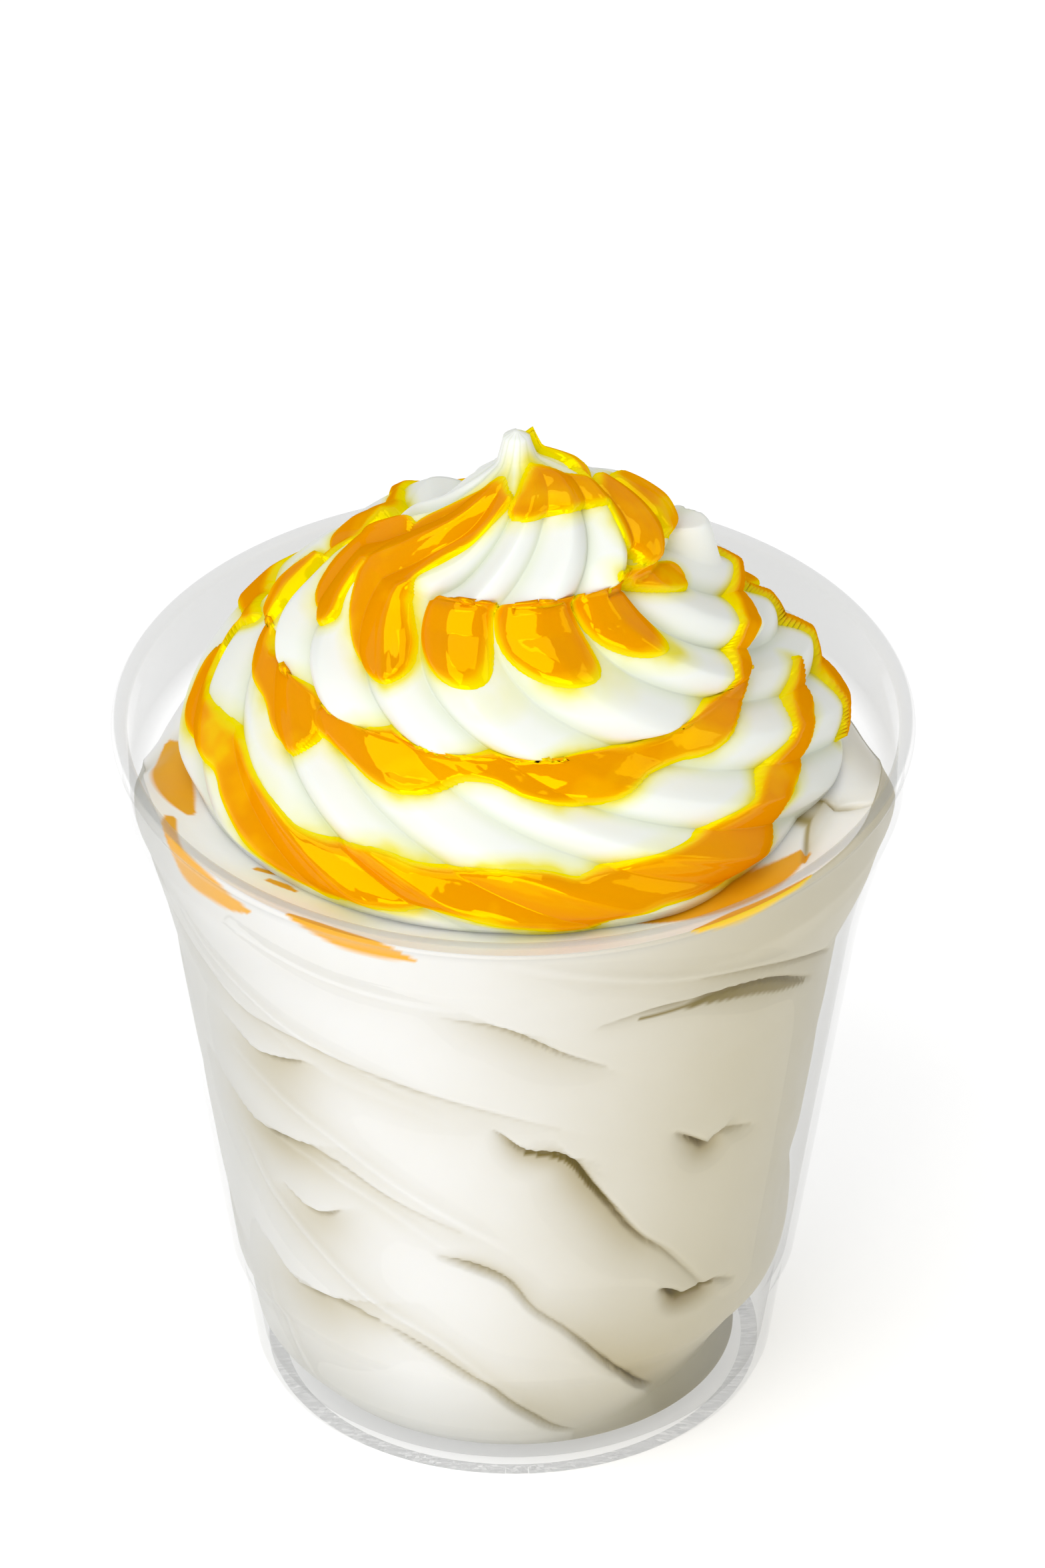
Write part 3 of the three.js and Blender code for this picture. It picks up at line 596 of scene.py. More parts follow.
def cup_outline():
    """Radii and heights from the middle of the base up the outside, over the rim and down the inside."""
    inside = [(radius - WALL, height) for radius, height in reversed(OUTER_WALL[1:])]
    edge_radius, edge_height = OUTER_WALL[0]
    bevel_in, bevel_height = FOOT_BEVEL
    return [
        (0.0, PUNT_HEIGHT),
        (FOOT_RADIUS - FOOT_RING - PUNT_SLOPE, PUNT_HEIGHT),
        (FOOT_RADIUS - FOOT_RING, 0.0),
        (FOOT_RADIUS, 0.0),
        (edge_radius - bevel_in, bevel_height),
        *OUTER_WALL,
        *rim_roll_outline(),
        *inside,
        (edge_radius - WALL, edge_height + BASE_THICK),
        (edge_radius - WALL - BASE_CORNER, PUNT_HEIGHT + BASE_THICK),
        (0.0, PUNT_HEIGHT + BASE_THICK),
    ]


def build_cup():
    outline = cup_outline()
    azimuth = np.arange(CUP_SEGMENTS) * 360 / CUP_SEGMENTS
    rings = np.array([around(azimuth, radius, height) for radius, height in outline[1:-1]])
    points, faces = ringed_solid(rings, (0, 0, outline[0][1]), (0, 0, outline[-1][1]))
    outer_rings = outline.index(OUTER_WALL[-1]) + len(RIM_ROLL_DEGREES) // 2
    above_filling = smooth_step(rings[:, :, 2] - fill_level(azimuth), -BARE_FROM, BARE_FROM)
    above_filling[:outer_rings] = 0
    values = {"bare_inner_side": np.append(above_filling, [0, 0])}
    cup = add_piece("clear_cup", points, faces, CLEAR_PLASTIC, values)
    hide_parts("cup")


# ---- the filling ----
# Strokes on the filling are lists of points. A point starts with its azimuth and its height on the wall in
# mm, counted on inwards past the wall's edge.
# Creases between folds. After the place: the crease's depth in mm, and how far the hollow beside it
# spreads, to the right of the stroke's direction or, where it is negative, to the left.
CREASES = [
    [(-70, 73, 0.3, 4), (-54, 67, 0.7, 5), (-43, 66.5, 0.8, 5), (-32, 66, 0.7, 5), (-8, 62.6, 0.5, 4),
     (8, 59, 0.2, 4)],
    [(-58, 62.5, 0.3, 4), (-51, 60.5, 1.6, 6), (-44, 61.5, 1.9, 6), (-37, 63.5, 0.3, 3)],
    [(-64, 51, 0.3, 4), (-57, 48, 1.4, 6), (-51, 47.2, 2.0, 6), (-44, 48.3, 1.8, 6), (-34, 48, 0.9, 4),
     (-24, 45, 0.6, 4), (-10, 41.3, 0.3, 3)],
    [(-50, 40, 0.3, 3), (-43, 37.9, 1.5, 5), (-38, 38.4, 1.5, 5), (-33, 40.8, 0.2, 2)],
    [(-58, 27.5, 0.3, 3), (-50, 23.5, 1.5, 6), (-44, 23.4, 1.9, 7), (-39, 24, 1.7, 6), (-29, 23.2, 1.2, 3)],
    [(-37.7, 24.7, 0.3, -1), (-23, 22, 0.8, -2), (-9.6, 17, 1, -3), (-1, 12.1, 1.2, -5), (5, 9.4, 1.3, -7),
     (11, 6.6, 1, -7), (16, 4.5, 0.3, -5)],
    [(-14, 36.9, 0.4, -1), (-7.3, 35.5, 1.6, -2), (-1, 33.3, 1.4, -2), (4, 28.7, 1, -3),
     (10.7, 24.7, 1.1, -5), (18, 19.3, 1.7, -7), (28, 12.6, 2.1, -8), (35, 9, 1.5, -7), (40, 6.6, 0.3, -5)],
    [(-3.4, 58.9, 0.4, 1), (1.7, 55.3, 2.4, 2), (9.6, 53.5, 2.6, 3), (15.2, 47.7, 2.4, 4),
     (23.6, 39.1, 1.8, 4), (30.9, 34.2, 1, 3), (42, 25, 0.5, 3)],
    [(-11, 78.3, 0.3, 2), (-5, 77.4, 1, 4), (-1, 76.5, 1.4, 4), (3.4, 74.3, 1.4, 4), (8.4, 71.6, 1, 4),
     (15, 68.8, 0.4, 3)],
    [(14, 76.4, 0.3, 1.5), (21.9, 77.5, 0.8, 1.5), (29.8, 77.2, 1.2, 1.6), (36.6, 76.5, 1.7, 2.2),
     (43.9, 74.9, 1.9, 2.6), (50, 72.6, 1.6, 2.2), (57.4, 69.2, 0.8, 1.6), (62.4, 67.1, 0.3, 1)],
    [(29.8, 54.4, 0.4, 1), (34.9, 51.3, 2.2, 2), (37.7, 49.9, 2.6, 2), (40.5, 51.3, 1.6, 1.6),
     (47, 50, 0.5, 2)],
    [(29.8, 28.3, 0.4, 1), (33, 27, 2.4, 1.6), (36, 25.6, 4, 2), (40.5, 25.6, 4, 2), (44.4, 25.6, 1.4, 1.4),
     (50, 24, 0.4, 1)],
    [(30, 80.8, 0.3, 3), (43, 77.7, 0.8, 4), (60, 72, 1.2, 4), (72, 66, 0.4, 3)],
    [(54.6, 93.4, 0.6, 1), (62, 96.2, 1.8, 1.5), (68, 97, 2, 2), (72.6, 96.2, 2, 2), (72, 94, 1.6, 1.5),
     (71.4, 90.2, 0.4, 1)],
]
CREASE_LINE = 0.4  # mm to the side of a crease where its dark line ends
CREASE_HOLLOW = 0.55  # depth of the hollow beside a crease, as a share of the crease's depth
HOLLOW_ROUNDNESS = 1.4  # 1 would make the hollow sharp, 2 round
DARKEST_DEPTH = 3.0  # mm of depth at which the painted shade of a crease is darkest
# Edges of folds that are pressed to the wall, with shallow valleys beside them: the valleys' depth in mm.
FOLD_EDGES = [
    [(-66, 80, 0.1), (-59.6, 74.7, 0.3), (-49.5, 70.7, 0.4), (-39.4, 68, 0.4), (-24.2, 64.8, 0.4),
     (-7.9, 60.3, 0.1)],
    [(-66, 70, 0.1), (-49.5, 67, 0.3), (-36.6, 63.9, 0.3), (-17.4, 61.2, 0.3), (-10, 59.4, 0.1)],
    [(-58, 58, 0.2), (-45.6, 54.9, 0.4), (-33.8, 52.2, 0.4), (-20.8, 47.2, 0.4), (-8.4, 42.3, 0.3),
     (-1, 39, 0.1)],
    [(-64, 51.5, 0.2), (-56, 48, 0.4), (-46.7, 46.8, 0.4), (-39.4, 46.5, 0.4), (-25.3, 43.5, 0.4),
     (-11.2, 37.8, 0.1)],
    [(-62, 44.5, 0.2), (-52.3, 36.9, 0.5), (-40.5, 31.4, 0.5), (-28.7, 26.5, 0.5), (-14.6, 22, 0.4),
     (1.7, 12.1, 0.1)],
    [(-61, 20, 0.2), (-58, 13, 0.4), (-50, 7, 0.2)],
    [(-1, 88, 0.1), (18, 84.2, 0.4), (38, 80, 0.4), (50, 77, 0.1)],
    [(-47, 83.7, 0.2), (-33, 81.5, 0.3), (-22, 80.6, 0.3), (-9, 80, 0.1)],
]
VALLEY_STARTS = 0.9  # mm from a pressed edge to where the valley beside it is deepest
VALLEY_FADES = 2.5  # mm over which it fades to about a third
FOLD_PITCH = 19.0  # mm between the soft folds all round
FOLD_RISE = 0.42  # mm that a fold falls for each degree towards the right
FOLD_DEPTH = 0.7  # of the deepest of them
FOLD_MEAN = 0.6  # the mean depth, as a share of that
FOLD_STEP = 1.7  # radians by which the next fold's depth is out of step
FOLD_BEND = (7.0, 3.0)  # mm by which the folds bend, once and twice round
FOLD_SHARPNESS = 8
FOLDS_FROM = (60, 100)  # azimuths to either side between which the soft folds set in
WALL_PULL = 1.6  # mm by which the ice cream keeps off the wall on the right
PULLED_AZIMUTHS = ((52, 78), (96, 130))  # that sets in and ends between these azimuths
PULLED_HEIGHTS = ((12, 30), (66, 76))  # and heights
FOOT_PULL = 3.0  # mm by which it keeps off the wall where it rounds off above the base
FOOT_PULL_AZIMUTHS = ((0, 60), (105, 150))
FOOT_PULL_RIGHT = 1.1  # by this share more on the right
FOOT_PULL_FROM = 2.5  # heights in mm between which it goes over to the wall
FOOT_PULL_TOP = 10.0
FOOT_PULL_RIGHT_TOP = 16.0  # and how much higher it ends on the right
EDGE_ROUNDING = 1.6  # mm by which it keeps off the wall at its upper edge, on the sides and behind
EDGE_ROUNDING_SIDE = (58, 85)  # azimuths to either side between which that sets in
EDGE_ROUNDING_REACH = 5  # mm below the edge where it ends
# Sauce that has run over the filling: the streak's half width in mm.
STREAKS = [
    [(-94, 86.3, 0.5), (-89, 88.4, 2.2), (-82, 91, 2.8), (-75, 93, 2.4), (-70, 94.1, 1)],
    [(-67.5, 91.2, 0.9), (-60, 88.4, 1.9), (-56.8, 87.5, 2.5), (-51, 87.3, 2.1), (-47, 87, 1.4),
     (-42.8, 87.3, 0.4)],
    [(-35, 89.8, 0.7), (-31, 89.6, 1.5), (-26.4, 89.1, 1.9), (-21.4, 88.7, 1.6), (-15, 87.8, 0.4)],
    [(-50, 96, 0.5), (-46.7, 97.2, 0.4)],
    [(-46, 95.5, 0.5), (-43, 96, 0.6), (-40.5, 96.1, 0.3)],
    [(22, 96.6, 0.6), (30, 96.2, 3), (38, 95.2, 3.8), (46, 94.8, 3.4), (57, 94.6, 1)],
    [(28, 89.6, 0.5), (35, 89.8, 1.7), (41, 89.8, 1.3), (50, 89.6, 0.4)],
]
# Gaps between folds into which no light falls: the gap's half width in mm.
DARK_GAPS = [
    [(20, 76.6, 0.2), (29.8, 76.4, 0.5), (36.6, 75.6, 1), (43.9, 74, 1.3), (50, 71.7, 1.1),
     (57.4, 68.8, 0.3)],
    [(2, 54.6, 0.2), (9.6, 53, 0.5), (15.2, 47.4, 0.4), (19, 44, 0.2)],
    [(33, 26.6, 0.2), (36, 25.2, 0.7), (40.5, 25.2, 0.8), (45, 25.4, 0.2)],
]
WARM_SIDE = (-25, 48)  # azimuths between which the ice cream behind the wall turns warmer and darker, in painted shade
GREY_SIDE = (35, 90)  # azimuths to the left of the front between which it turns greyer, in painted shade
BEHIND = (85, 150)  # azimuths to either side between which both fade out again
GREY_FOOT = (5, 18)  # heights in mm between which the painted grey shade of its foot fades out
STROKE_EDGE = 4  # how sharply a streak or a gap ends: 1 would fade it out from its middle


def stroke_steps(stroke, azimuth, along):
    """For each short step of a stroke: mm away from it, the signed side, and the values along it."""
    line = smooth_stroke(stroke)
    for start, stop in zip(line, line[1:]):
        scale = math.radians(1) * float(inner_radius(start[1]))
        across = wrap(azimuth - start[0]) * scale
        up = along - start[1]
        run = (wrap(stop[0] - start[0]) * scale, stop[1] - start[1])
        length = math.hypot(*run)
        share = np.clip((across * run[0] + up * run[1]) / length**2, 0, 1)
        away_across = across - run[0] * share
        away_up = up - run[1] * share
        side = (away_up * run[0] - away_across * run[1]) / length
        values = [start[i] + (stop[i] - start[i]) * share for i in range(2, len(start))]
        yield np.hypot(away_across, away_up), side, values


def crease_depth(azimuth, along):
    """How deep the creases between folds are, in mm."""
    depth = np.zeros(azimuth.shape)
    for stroke in CREASES:
        for away, side, (deep, spread) in stroke_steps(stroke, azimuth, along):
            line = np.exp(-((away / CREASE_LINE) ** 2))
            fading = np.exp(-((away / np.abs(spread)) ** HOLLOW_ROUNDNESS))
            hollow = np.where(side * spread < 0, CREASE_HOLLOW * fading, 0)
            depth = np.maximum(depth, deep * np.maximum(line, hollow))
    return depth


def valley_depth(azimuth, along):
    """How deep the valleys beside the pressed edges of folds are, in mm."""
    depth = np.zeros(azimuth.shape)
    for stroke in FOLD_EDGES:
        nearest = np.full(azimuth.shape, np.inf)
        deep = np.zeros(azimuth.shape)
        for away, _, (value,) in stroke_steps(stroke, azimuth, along):
            deep = np.where(away < nearest, value, deep)
            nearest = np.minimum(away, nearest)
        beside = np.clip(nearest / VALLEY_STARTS, 0, 1) * np.exp(-nearest / VALLEY_FADES)
        depth = np.maximum(depth, deep * beside)
    return depth


def soft_folds(azimuth, along):
    """Broad shallow folds that fall to the right all round the cup, each with its own depth."""
    angle = np.radians(azimuth)
    bend = FOLD_BEND[0] * np.cos(angle) + FOLD_BEND[1] * np.sin(2 * angle)
    phase = (along + FOLD_RISE * (azimuth + 180) + bend) / FOLD_PITCH
    own = FOLD_MEAN + (1 - FOLD_MEAN) * np.sin(FOLD_STEP * np.floor(phase) + 2 * angle)
    aside = smooth_step(np.abs(azimuth), *FOLDS_FROM)
    return FOLD_DEPTH * own * aside * np.sin(math.pi * phase) ** FOLD_SHARPNESS


def stroke_cover(strokes, azimuth, along):
    """1 on such strokes, 0 off them, with a short slope between."""
    cover = np.zeros(azimuth.shape)
    for stroke in strokes:
        for away, _, (half,) in stroke_steps(stroke, azimuth, along):
            cover = np.maximum(cover, 1 - away / half)
    return np.minimum(cover * STROKE_EDGE, 1)


def fill_level(azimuth):
    """Height at which the ice cream's surface meets the wall."""
    front = 1 - smooth_step(np.abs(azimuth), LEVEL_FALLS_FROM, LEVEL_FALLS_TO)
    return BACK_LEVEL + (FRONT_LEVEL - BACK_LEVEL) * front


def wall_gap(azimuth, height, level):
    """How far the ice cream as a whole keeps back from the wall: on the right, at its foot and its edge."""
    pulled = WALL_PULL * plateau(azimuth, *PULLED_AZIMUTHS) * plateau(height, *PULLED_HEIGHTS)
    lifted = plateau(azimuth, *FOOT_PULL_AZIMUTHS)
    rounding = 1 - smooth_step(height, FOOT_PULL_FROM, FOOT_PULL_TOP + FOOT_PULL_RIGHT_TOP * lifted)
    foot = FOOT_PULL * rounding**2 * (1 + FOOT_PULL_RIGHT * lifted)
    side = smooth_step(np.abs(azimuth), *EDGE_ROUNDING_SIDE)
    edge = EDGE_ROUNDING * side * (1 - smooth_step(level - height, 0, EDGE_ROUNDING_REACH)) ** 2
    return pulled + foot + edge


def filling_surface():
    """Rings of the filling from the wall's foot to the swirl's seat, and their places and depths.

    A place is an azimuth and a way along the profile in mm: the height on the wall, and then inwards.
    """
    azimuth = -180 + np.arange(FILL_COLUMNS) * 360 / FILL_COLUMNS
    level = fill_level(azimuth)
    wall_share = np.linspace(0, 1, WALL_ROWS)[:, None]
    height = FILL_WALL_FOOT + (level - FILL_WALL_FOOT) * wall_share
    inwards = (np.arange(1, HEAP_ROWS + 1) / HEAP_ROWS)[:, None]
    edge_radius = inner_radius(level) + WALL_REACH - wall_gap(azimuth, level, level)
    heap_radius = edge_radius + (SEAT_RADIUS - edge_radius) * inwards
    heap_height = level + (SEAT_HEIGHT - level) * np.sin(math.pi / 2 * inwards)
    along = np.concatenate([height, level + edge_radius - heap_radius])
    angle = np.broadcast_to(azimuth, along.shape)
    depth = crease_depth(angle, along) + valley_depth(angle, along) + soft_folds(angle, along)
    wall_depth = depth[:WALL_ROWS]
    wall_radius = inner_radius(height) + WALL_REACH - wall_gap(azimuth, height, level) - wall_depth
    radius = np.concatenate([wall_radius, heap_radius - wall_depth[-1] * (1 - inwards)])
    heap_depth = depth[WALL_ROWS:] * smooth_step(1 - inwards, 0, HEAP_SMOOTHING)
    z = np.concatenate([height, heap_height - heap_depth])
    return around(angle, radius, z), angle, along, depth


def build_filling():
    surface, azimuth, along, depth = filling_surface()
    foot = around(azimuth[0], FILL_FOOT_RADIUS, FILL_BOTTOM)
    rings = np.concatenate([[foot], surface])
    points, faces = ringed_solid(rings, (0, 0, FILL_BOTTOM), (0, 0, SEAT_HEIGHT))

    def stored(values):
        """Values with those of the foot's ring, which are the next ring's, and of the two middles."""
        return np.concatenate([values[0], values.reshape(-1), [0, 0]])

    on_wall = np.ones(azimuth.shape)
    on_wall[WALL_ROWS:] = 0
    in_front = 1 - smooth_step(np.abs(azimuth), *BEHIND)
    # painted grey shade: left of the front, and darker towards the foot
    low = 1 - smooth_step(surface[:, :, 2], *GREY_FOOT)
    grey_shade = np.maximum(smooth_step(-azimuth, *GREY_SIDE) * in_front, low)
    # painted shade: the material darkens the ice cream by its crease depth, on the wall, in grey at the side
    # and foot, and on the right
    values = {
        "fold_depth": stored(np.clip(depth / DARKEST_DEPTH, 0, 1)),
        "warmth_and_shade": stored(smooth_step(azimuth, *WARM_SIDE) * in_front * on_wall),
        "grey_shade": stored(grey_shade * on_wall),
        "on_wall": stored(on_wall),
        "streak": stored(stroke_cover(STREAKS, azimuth, along)),
        "dark_gap": stored(stroke_cover(DARK_GAPS, azimuth, along)),
    }
    filling = add_piece("folded_ice_cream", points, faces, FOLDED_CREAM, values)
    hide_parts("ice_cream_filling")


# ---- the swirl ----
def coil_climb(azimuth):
    """How far the coil has climbed, in tiers."""
    side = np.sign(azimuth) * smooth_step(np.abs(azimuth), COIL_CLIMB_FROM, 180)
    return COIL_CLIMB * side + COIL_TILT * np.sin(np.radians(azimuth))


def ridge(phase):
    """How far up a ridge is, 1 on its middle line and 0 in a groove."""
    across = 2 * (phase - np.floor(phase)) - 1
    return 1 - np.abs(across) ** RIDGE_ROUNDNESS


def sweep_to(height):
    """How far the grooves have run to the right, in degrees, where they pass a height."""
    tier = np.clip(np.floor(height), 0, TIERS - 1).astype(int)
    above = np.array([SWEEP[1] + SWEEP[2], SWEEP[2], 0.0])[tier]
    return above + SWEEP[tier] * np.maximum(1 - (height - tier), 0) ** SWEEP_POWER[tier]


def start_azimuth(phase):
    """Where a groove starts at the tip, so that it crosses the second crease at its own azimuth."""
    even = FIRST_GROOVE + 360 * phase / LOBES
    uneven = UNEVEN_TWICE * np.sin(np.radians(2 * even)) + UNEVEN_FIVE * np.sin(np.radians(5 * even))
    return even + uneven - SWEEP[TIERS - 1]


def coil_place(phase, height):
    """Azimuths, tiers of the coil, and how far they are up their tier as a share."""
    azimuth = wrap(start_azimuth(phase) + sweep_to(height))
    coil = height + coil_climb(azimuth)
    tier = np.clip(np.floor(coil), 0, TIERS - 1).astype(int)
    return azimuth, tier, np.clip(coil - tier, 0, 1)


def ribbon_reach(azimuth, height, phase):
    """Cover of the ribbons, 1 on a middle line and 0 at an edge, and the mm inside the nearest edge."""
    cover = np.full(azimuth.shape, -1.0)
    inside = np.full(azimuth.shape, -9.0)
    radius = np.interp(height, LINE_TIERS, LINE_RADIUS) + SURFACE_SWELL
    for name, ribbon in RIBBONS.items():
        stroke = smooth_stroke(ribbon)
        ceiling = CEILINGS.get(name, TIERS) + CEILING_IN_GROOVES * (1 - ridge(phase))
        below = (ceiling - height) * TIER_SLOPE
        for start, stop in zip(stroke, stroke[1:]):
            across = radius * np.radians(wrap(azimuth - start[0]))
            up = TIER_SLOPE * (height - start[1])
            run_across = radius * math.radians(stop[0] - start[0])
            run_up = TIER_SLOPE * (stop[1] - start[1])
            share = np.clip((across * run_across + up * run_up) / (run_across**2 + run_up**2), 0, 1)
            away = np.hypot(across - run_across * share, up - run_up * share)
            half = start[2] + (stop[2] - start[2]) * share
            cover = np.maximum(cover, np.minimum(1 - away / half, below))
            inside = np.maximum(inside, np.minimum(half - away, below))
    return cover, inside


def run_reach(tier, climbed, phase):
    """The same for the tongues that have run down the middle tier's ridges."""
    number = np.floor(phase)
    tucked = (tier == TOP) & (climbed < RUN_TUCK)
    across = np.abs(2 * (phase - number) - 1) ** RUN_SQUARENESS
    cover = np.full(phase.shape, -1.0)
    for ridge_number, length in RUNS.items():
        here = ((tier == MIDDLE) | tucked) & (number % LOBES == ridge_number)
        down = np.where(tucked, 0, (1 - climbed) / length) ** RUN_SQUARENESS
        reach = 1 - (across + down) ** (1 / RUN_SQUARENESS)
        cover = np.where(here, reach, cover)
    return cover, cover * RUN_HALF_WIDTH


def bead_height(cover):
    """A round-shouldered bead of sauce: 0 outside the ribbon, 1 where it is thickest."""
    return np.sqrt(1 - (1 - np.clip(cover / SAUCE_EDGE, 0, 1)) ** 2)


def raise_towards(value, level, share):
    """The value, taken a share of the way up to the level if it is below."""
    return value + (np.maximum(value, level) - value) * share


def top_fullness(azimuth, height):
    """The share of its bulge that the top tier has: little behind and on the left, more on the right."""
    facing = np.cos(np.radians(azimuth - FULLEST_AT))
    full = SLIM_SHARE + (FULL_SHARE - SLIM_SHARE) * smooth_step(facing, SLIM_FROM, 1)
    return 1 + (full - 1) * smooth_step(height, *FULLNESS_FROM)


def foot_dent(azimuth, height):
    """How far the swirl's foot draws in on the right."""
    round_it = smooth_step(1 - np.abs(wrap(azimuth - FOOT_DENT_AT)) / FOOT_DENT_HALF, 0, 1)
    return FOOT_DENT * round_it * smooth_step(FOOT_DENT_TOP - height, 0, FOOT_DENT_TOP)


def second_crease_bridge(azimuth, height):
    """1 where the top tier runs on into the one below without a crease, 0 elsewhere."""
    round_it = 1 - smooth_step(np.abs(wrap(azimuth - BRIDGE_AT)), BRIDGE_FULL, BRIDGE_HALF)
    return round_it * (1 - smooth_step(np.abs(height - TOP), *BRIDGE_REACH))


def stub_share(azimuth, height):
    """1 on the broken end of cream and 0 elsewhere, with steep sides between."""
    across = np.abs(wrap(azimuth - STUB_AT[0])) / STUB_HALF[0]
    along = np.abs(height - STUB_AT[1]) / STUB_HALF[1]
    return smooth_step(1 - np.hypot(across, along), 0, STUB_EDGE)


def swirl_surface(phase, height, cover, lift):
    """Points of the swirl, raised where sauce covers it, and lifted by some mm."""
    azimuth, tier, climbed = coil_place(phase, height)
    bead = bead_height(cover)
    line_radius = np.interp(height, LINE_TIERS, LINE_RADIUS)
    bare = np.maximum(np.sin(math.pi * climbed ** BULGE_SKEW[tier]), 0) ** BULGE_ROUNDNESS
    bridge = second_crease_bridge(azimuth, height)
    arch = raise_towards(bare, CREASE_FILL_LEVEL, CREASE_FILL * bead)
    crest = raise_towards(ridge(phase), GROOVE_FILL_LEVEL, GROOVE_FILL * bead)
    taper = smooth_step(TIERS - height, 0, TIP_TAPER)
    body = BULGE[tier] * top_fullness(azimuth, height) * arch * taper
    body = body + (BRIDGE_SWELL - body) * bridge
    groove = RIDGE_DEPTH[tier] * smooth_step(line_radius, GROOVES_FROM_RADIUS, GROOVES_TO_RADIUS)
    creased = raise_towards(arch, CREASED_GROOVE, tier == TOP)
    groove = groove * (1 - crest) * raise_towards(creased, BRIDGED_GROOVE, bridge)
    swell = body - groove + SAUCE_THICK * bead + lift
    hang = SAG[tier] * crest * (1 - climbed) ** SAG_POWER * smooth_step(climbed, 0, HANG_START) * taper
    hang = hang * (1 - bridge)
    level = np.clip(np.floor(height), 0, TIERS - 1).astype(int)
    out = SLOPE_OUT[level]
    up = SLOPE_UP[level]
    length = np.hypot(out, up)
    behind = (1 - np.cos(np.radians(azimuth))) / 2
    line_height = np.interp(height, LINE_TIERS, LINE_HEIGHT)
    lower = (1 + np.cos(np.radians(azimuth - LOWEST_AT))) / 2
    drop = BACK_DROP * lower * smooth_step(height, *BACK_DROP_FROM)
    drop = drop * smooth_step(TIERS - height, 0, BACK_DROP_FADE)
    radius = (line_radius + (up * swell - out * hang) / length) * (1 - BACK_NARROWING * behind**2)
    radius = radius - foot_dent(azimuth, height)
    place = line_height - drop - (out * swell + up * hang) / length
    place = raise_towards(place, STUB_TOP + lift, stub_share(azimuth, height))
    points = around(azimuth, radius, place)
    points[..., 0] += TIP_LEAN * smooth_step(height, TIP_LEAN_FROM, TIERS)
    return points


def build_swirl():
    columns = LOBES * COLUMNS_PER_LOBE
    phases = np.arange(columns) / COLUMNS_PER_LOBE
    heights = TIERS * np.arange(SWIRL_ROWS) / SWIRL_ROWS
    phase, height = np.meshgrid(phases, heights)
    azimuth, tier, climbed = coil_place(phase, height)
    cover, inside = ribbon_reach(azimuth, height, phase)
    run_cover, run_inside = run_reach(tier, climbed, phase)
    cover = np.maximum(cover, run_cover)
    inside = np.maximum(inside, run_inside)

    foot = LINE_HEIGHT[0]
    none = np.zeros(phase.shape)
    cream = swirl_surface(phase, height, none, none)
    cream[0, :, 2] = foot
    cream[1:, :, 2] = np.maximum(cream[1:, :, 2], foot + LOW_EDGE)
    points, faces = ringed_solid(cream, (0, 0, foot), (0, 0, LINE_HEIGHT[-1]))
    near = np.clip(1 + inside / STAIN_REACH, 0, 1)
    # painted shade: deepest in the grooves, where the cream's material darkens its colour
    groove = smooth_step(1 - ridge(phase), GROOVE_SHADE_FROM, 1)
    values = {"near_sauce": np.append(near, [0, 0]), "groove": np.append(groove, [0, 0])}
    swirl = add_piece("soft_serve_cream", points, faces, SOFT_SERVE, values)
    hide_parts("soft_serve_swirl")

    dip = -SAUCE_DIVE * np.clip(-inside / SAUCE_DIVE_WITHIN, 0, 1)
    raised = swirl_surface(phase, height, cover, dip)
    raised[..., 2] = np.maximum(raised[..., 2], foot + LOW_EDGE)
    points, faces, used = cut_patch(raised, inside > -SAUCE_MARGIN)
    values = {"sauce_depth": np.clip(inside / SAUCE_FULL_DEPTH, 0, 1).reshape(-1)[used]}
    sauce = add_piece("fruit_sauce_ribbons", points, faces, SAUCE, values)
    body = sauce.modifiers.new("body", "SOLIDIFY")
    body.thickness = SAUCE_BODY * MM
    body.offset = -1


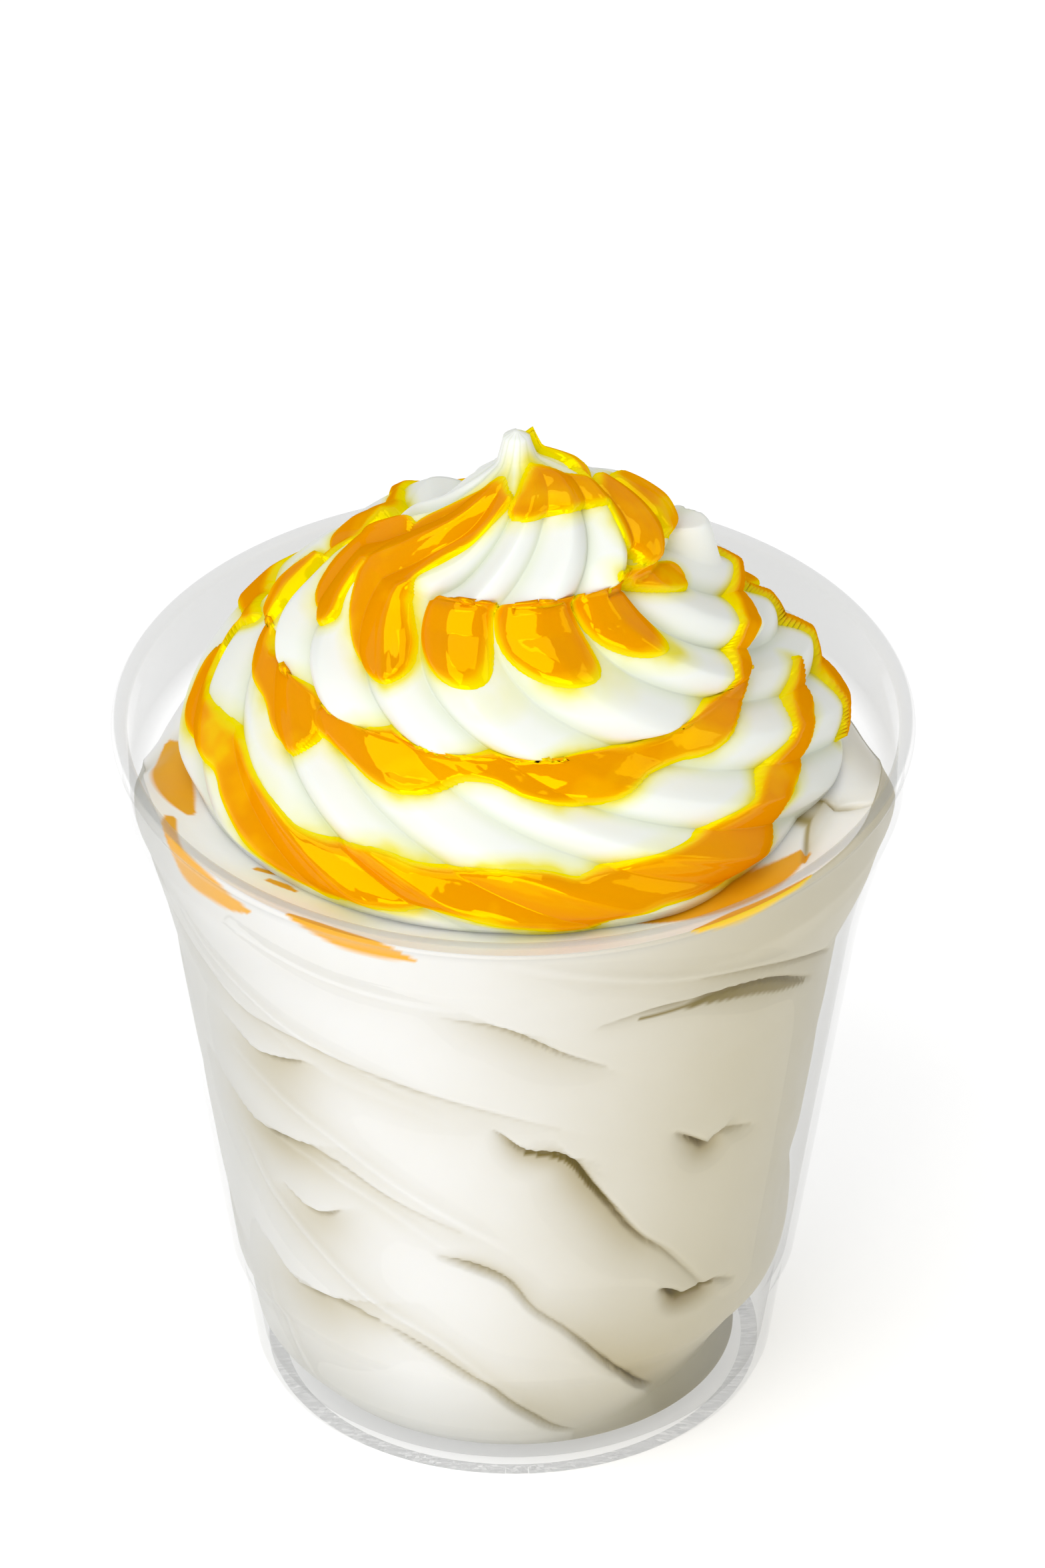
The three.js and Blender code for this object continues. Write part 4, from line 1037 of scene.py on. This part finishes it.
# ---- the studio ----
def build_floor():
    material, tree, shader = new_material("white_table")
    tone = place_group(tree, MOTTLE, Scale=3.0, Low=0.5, High=0.6)
    tree.links.new(tone, shader.inputs["Roughness"])
    values = {
        "Base Color": (0.86, 0.86, 0.86, 1),
        "Specular IOR Level": 0.2,
        "Emission Color": (1, 1, 1, 1),
        "Emission Strength": 0.4,
    }
    set_inputs(shader, values)
    mesh = bpy.data.meshes.new("table")
    reach = TABLE_REACH
    corners = [(-reach, -reach, 0), (reach, -reach, 0), (reach, reach, 0), (-reach, reach, 0)]
    mesh.from_pydata(corners, [], [[0, 1, 2, 3]])
    mesh.materials.append(material)
    table = bpy.data.objects.new("table", mesh)
    bpy.context.collection.objects.link(table)


def add_softbox(name, azimuth, elevation, distance, width, height, radiance):
    """A softbox that faces the sundae."""
    light = bpy.data.lights.new(name, "AREA")
    light.shape = "RECTANGLE"
    light.size = width
    light.size_y = height
    light.energy = math.pi * width * height * radiance
    softbox = bpy.data.objects.new(name, light)
    bpy.context.collection.objects.link(softbox)
    flat = distance * math.cos(math.radians(elevation))
    x, y, _ = around(azimuth, flat, 0)
    away = Vector((x, y, distance * math.sin(math.radians(elevation))))
    softbox.location = away + Vector((0, 0, LIGHT_AIM_HEIGHT))
    softbox.rotation_euler = away.to_track_quat("Z", "Y").to_euler()


def build_studio():
    world = bpy.data.worlds.new("white_room")
    world.use_nodes = True
    background = world.node_tree.nodes["Background"]
    set_inputs(background, {"Color": (1, 1, 1, 1), "Strength": STUDIO_WHITE})
    bpy.context.scene.world = world
    for name, softbox in SOFTBOXES.items():
        add_softbox(name, *softbox)


def build_camera():
    elevation = math.radians(PHOTO_ELEVATION)
    data = bpy.data.cameras.new("photo_camera")
    data.lens = LENS
    data.sensor_width = SENSOR
    data.clip_start, data.clip_end = CLIP
    camera = bpy.data.objects.new("photo_camera", data)
    bpy.context.collection.objects.link(camera)
    x, y, z = CAMERA_AIM
    camera.location = (
        x * MM,
        (y - CAMERA_DISTANCE * math.cos(elevation)) * MM,
        (z + CAMERA_DISTANCE * math.sin(elevation)) * MM,
    )
    camera.rotation_euler = (math.pi / 2 - elevation, 0, 0)
    bpy.context.scene.camera = camera
    bpy.context.scene.view_settings.view_transform = "Standard"


build_camera()
build_studio()
build_floor()
build_cup()
build_filling()
build_swirl()
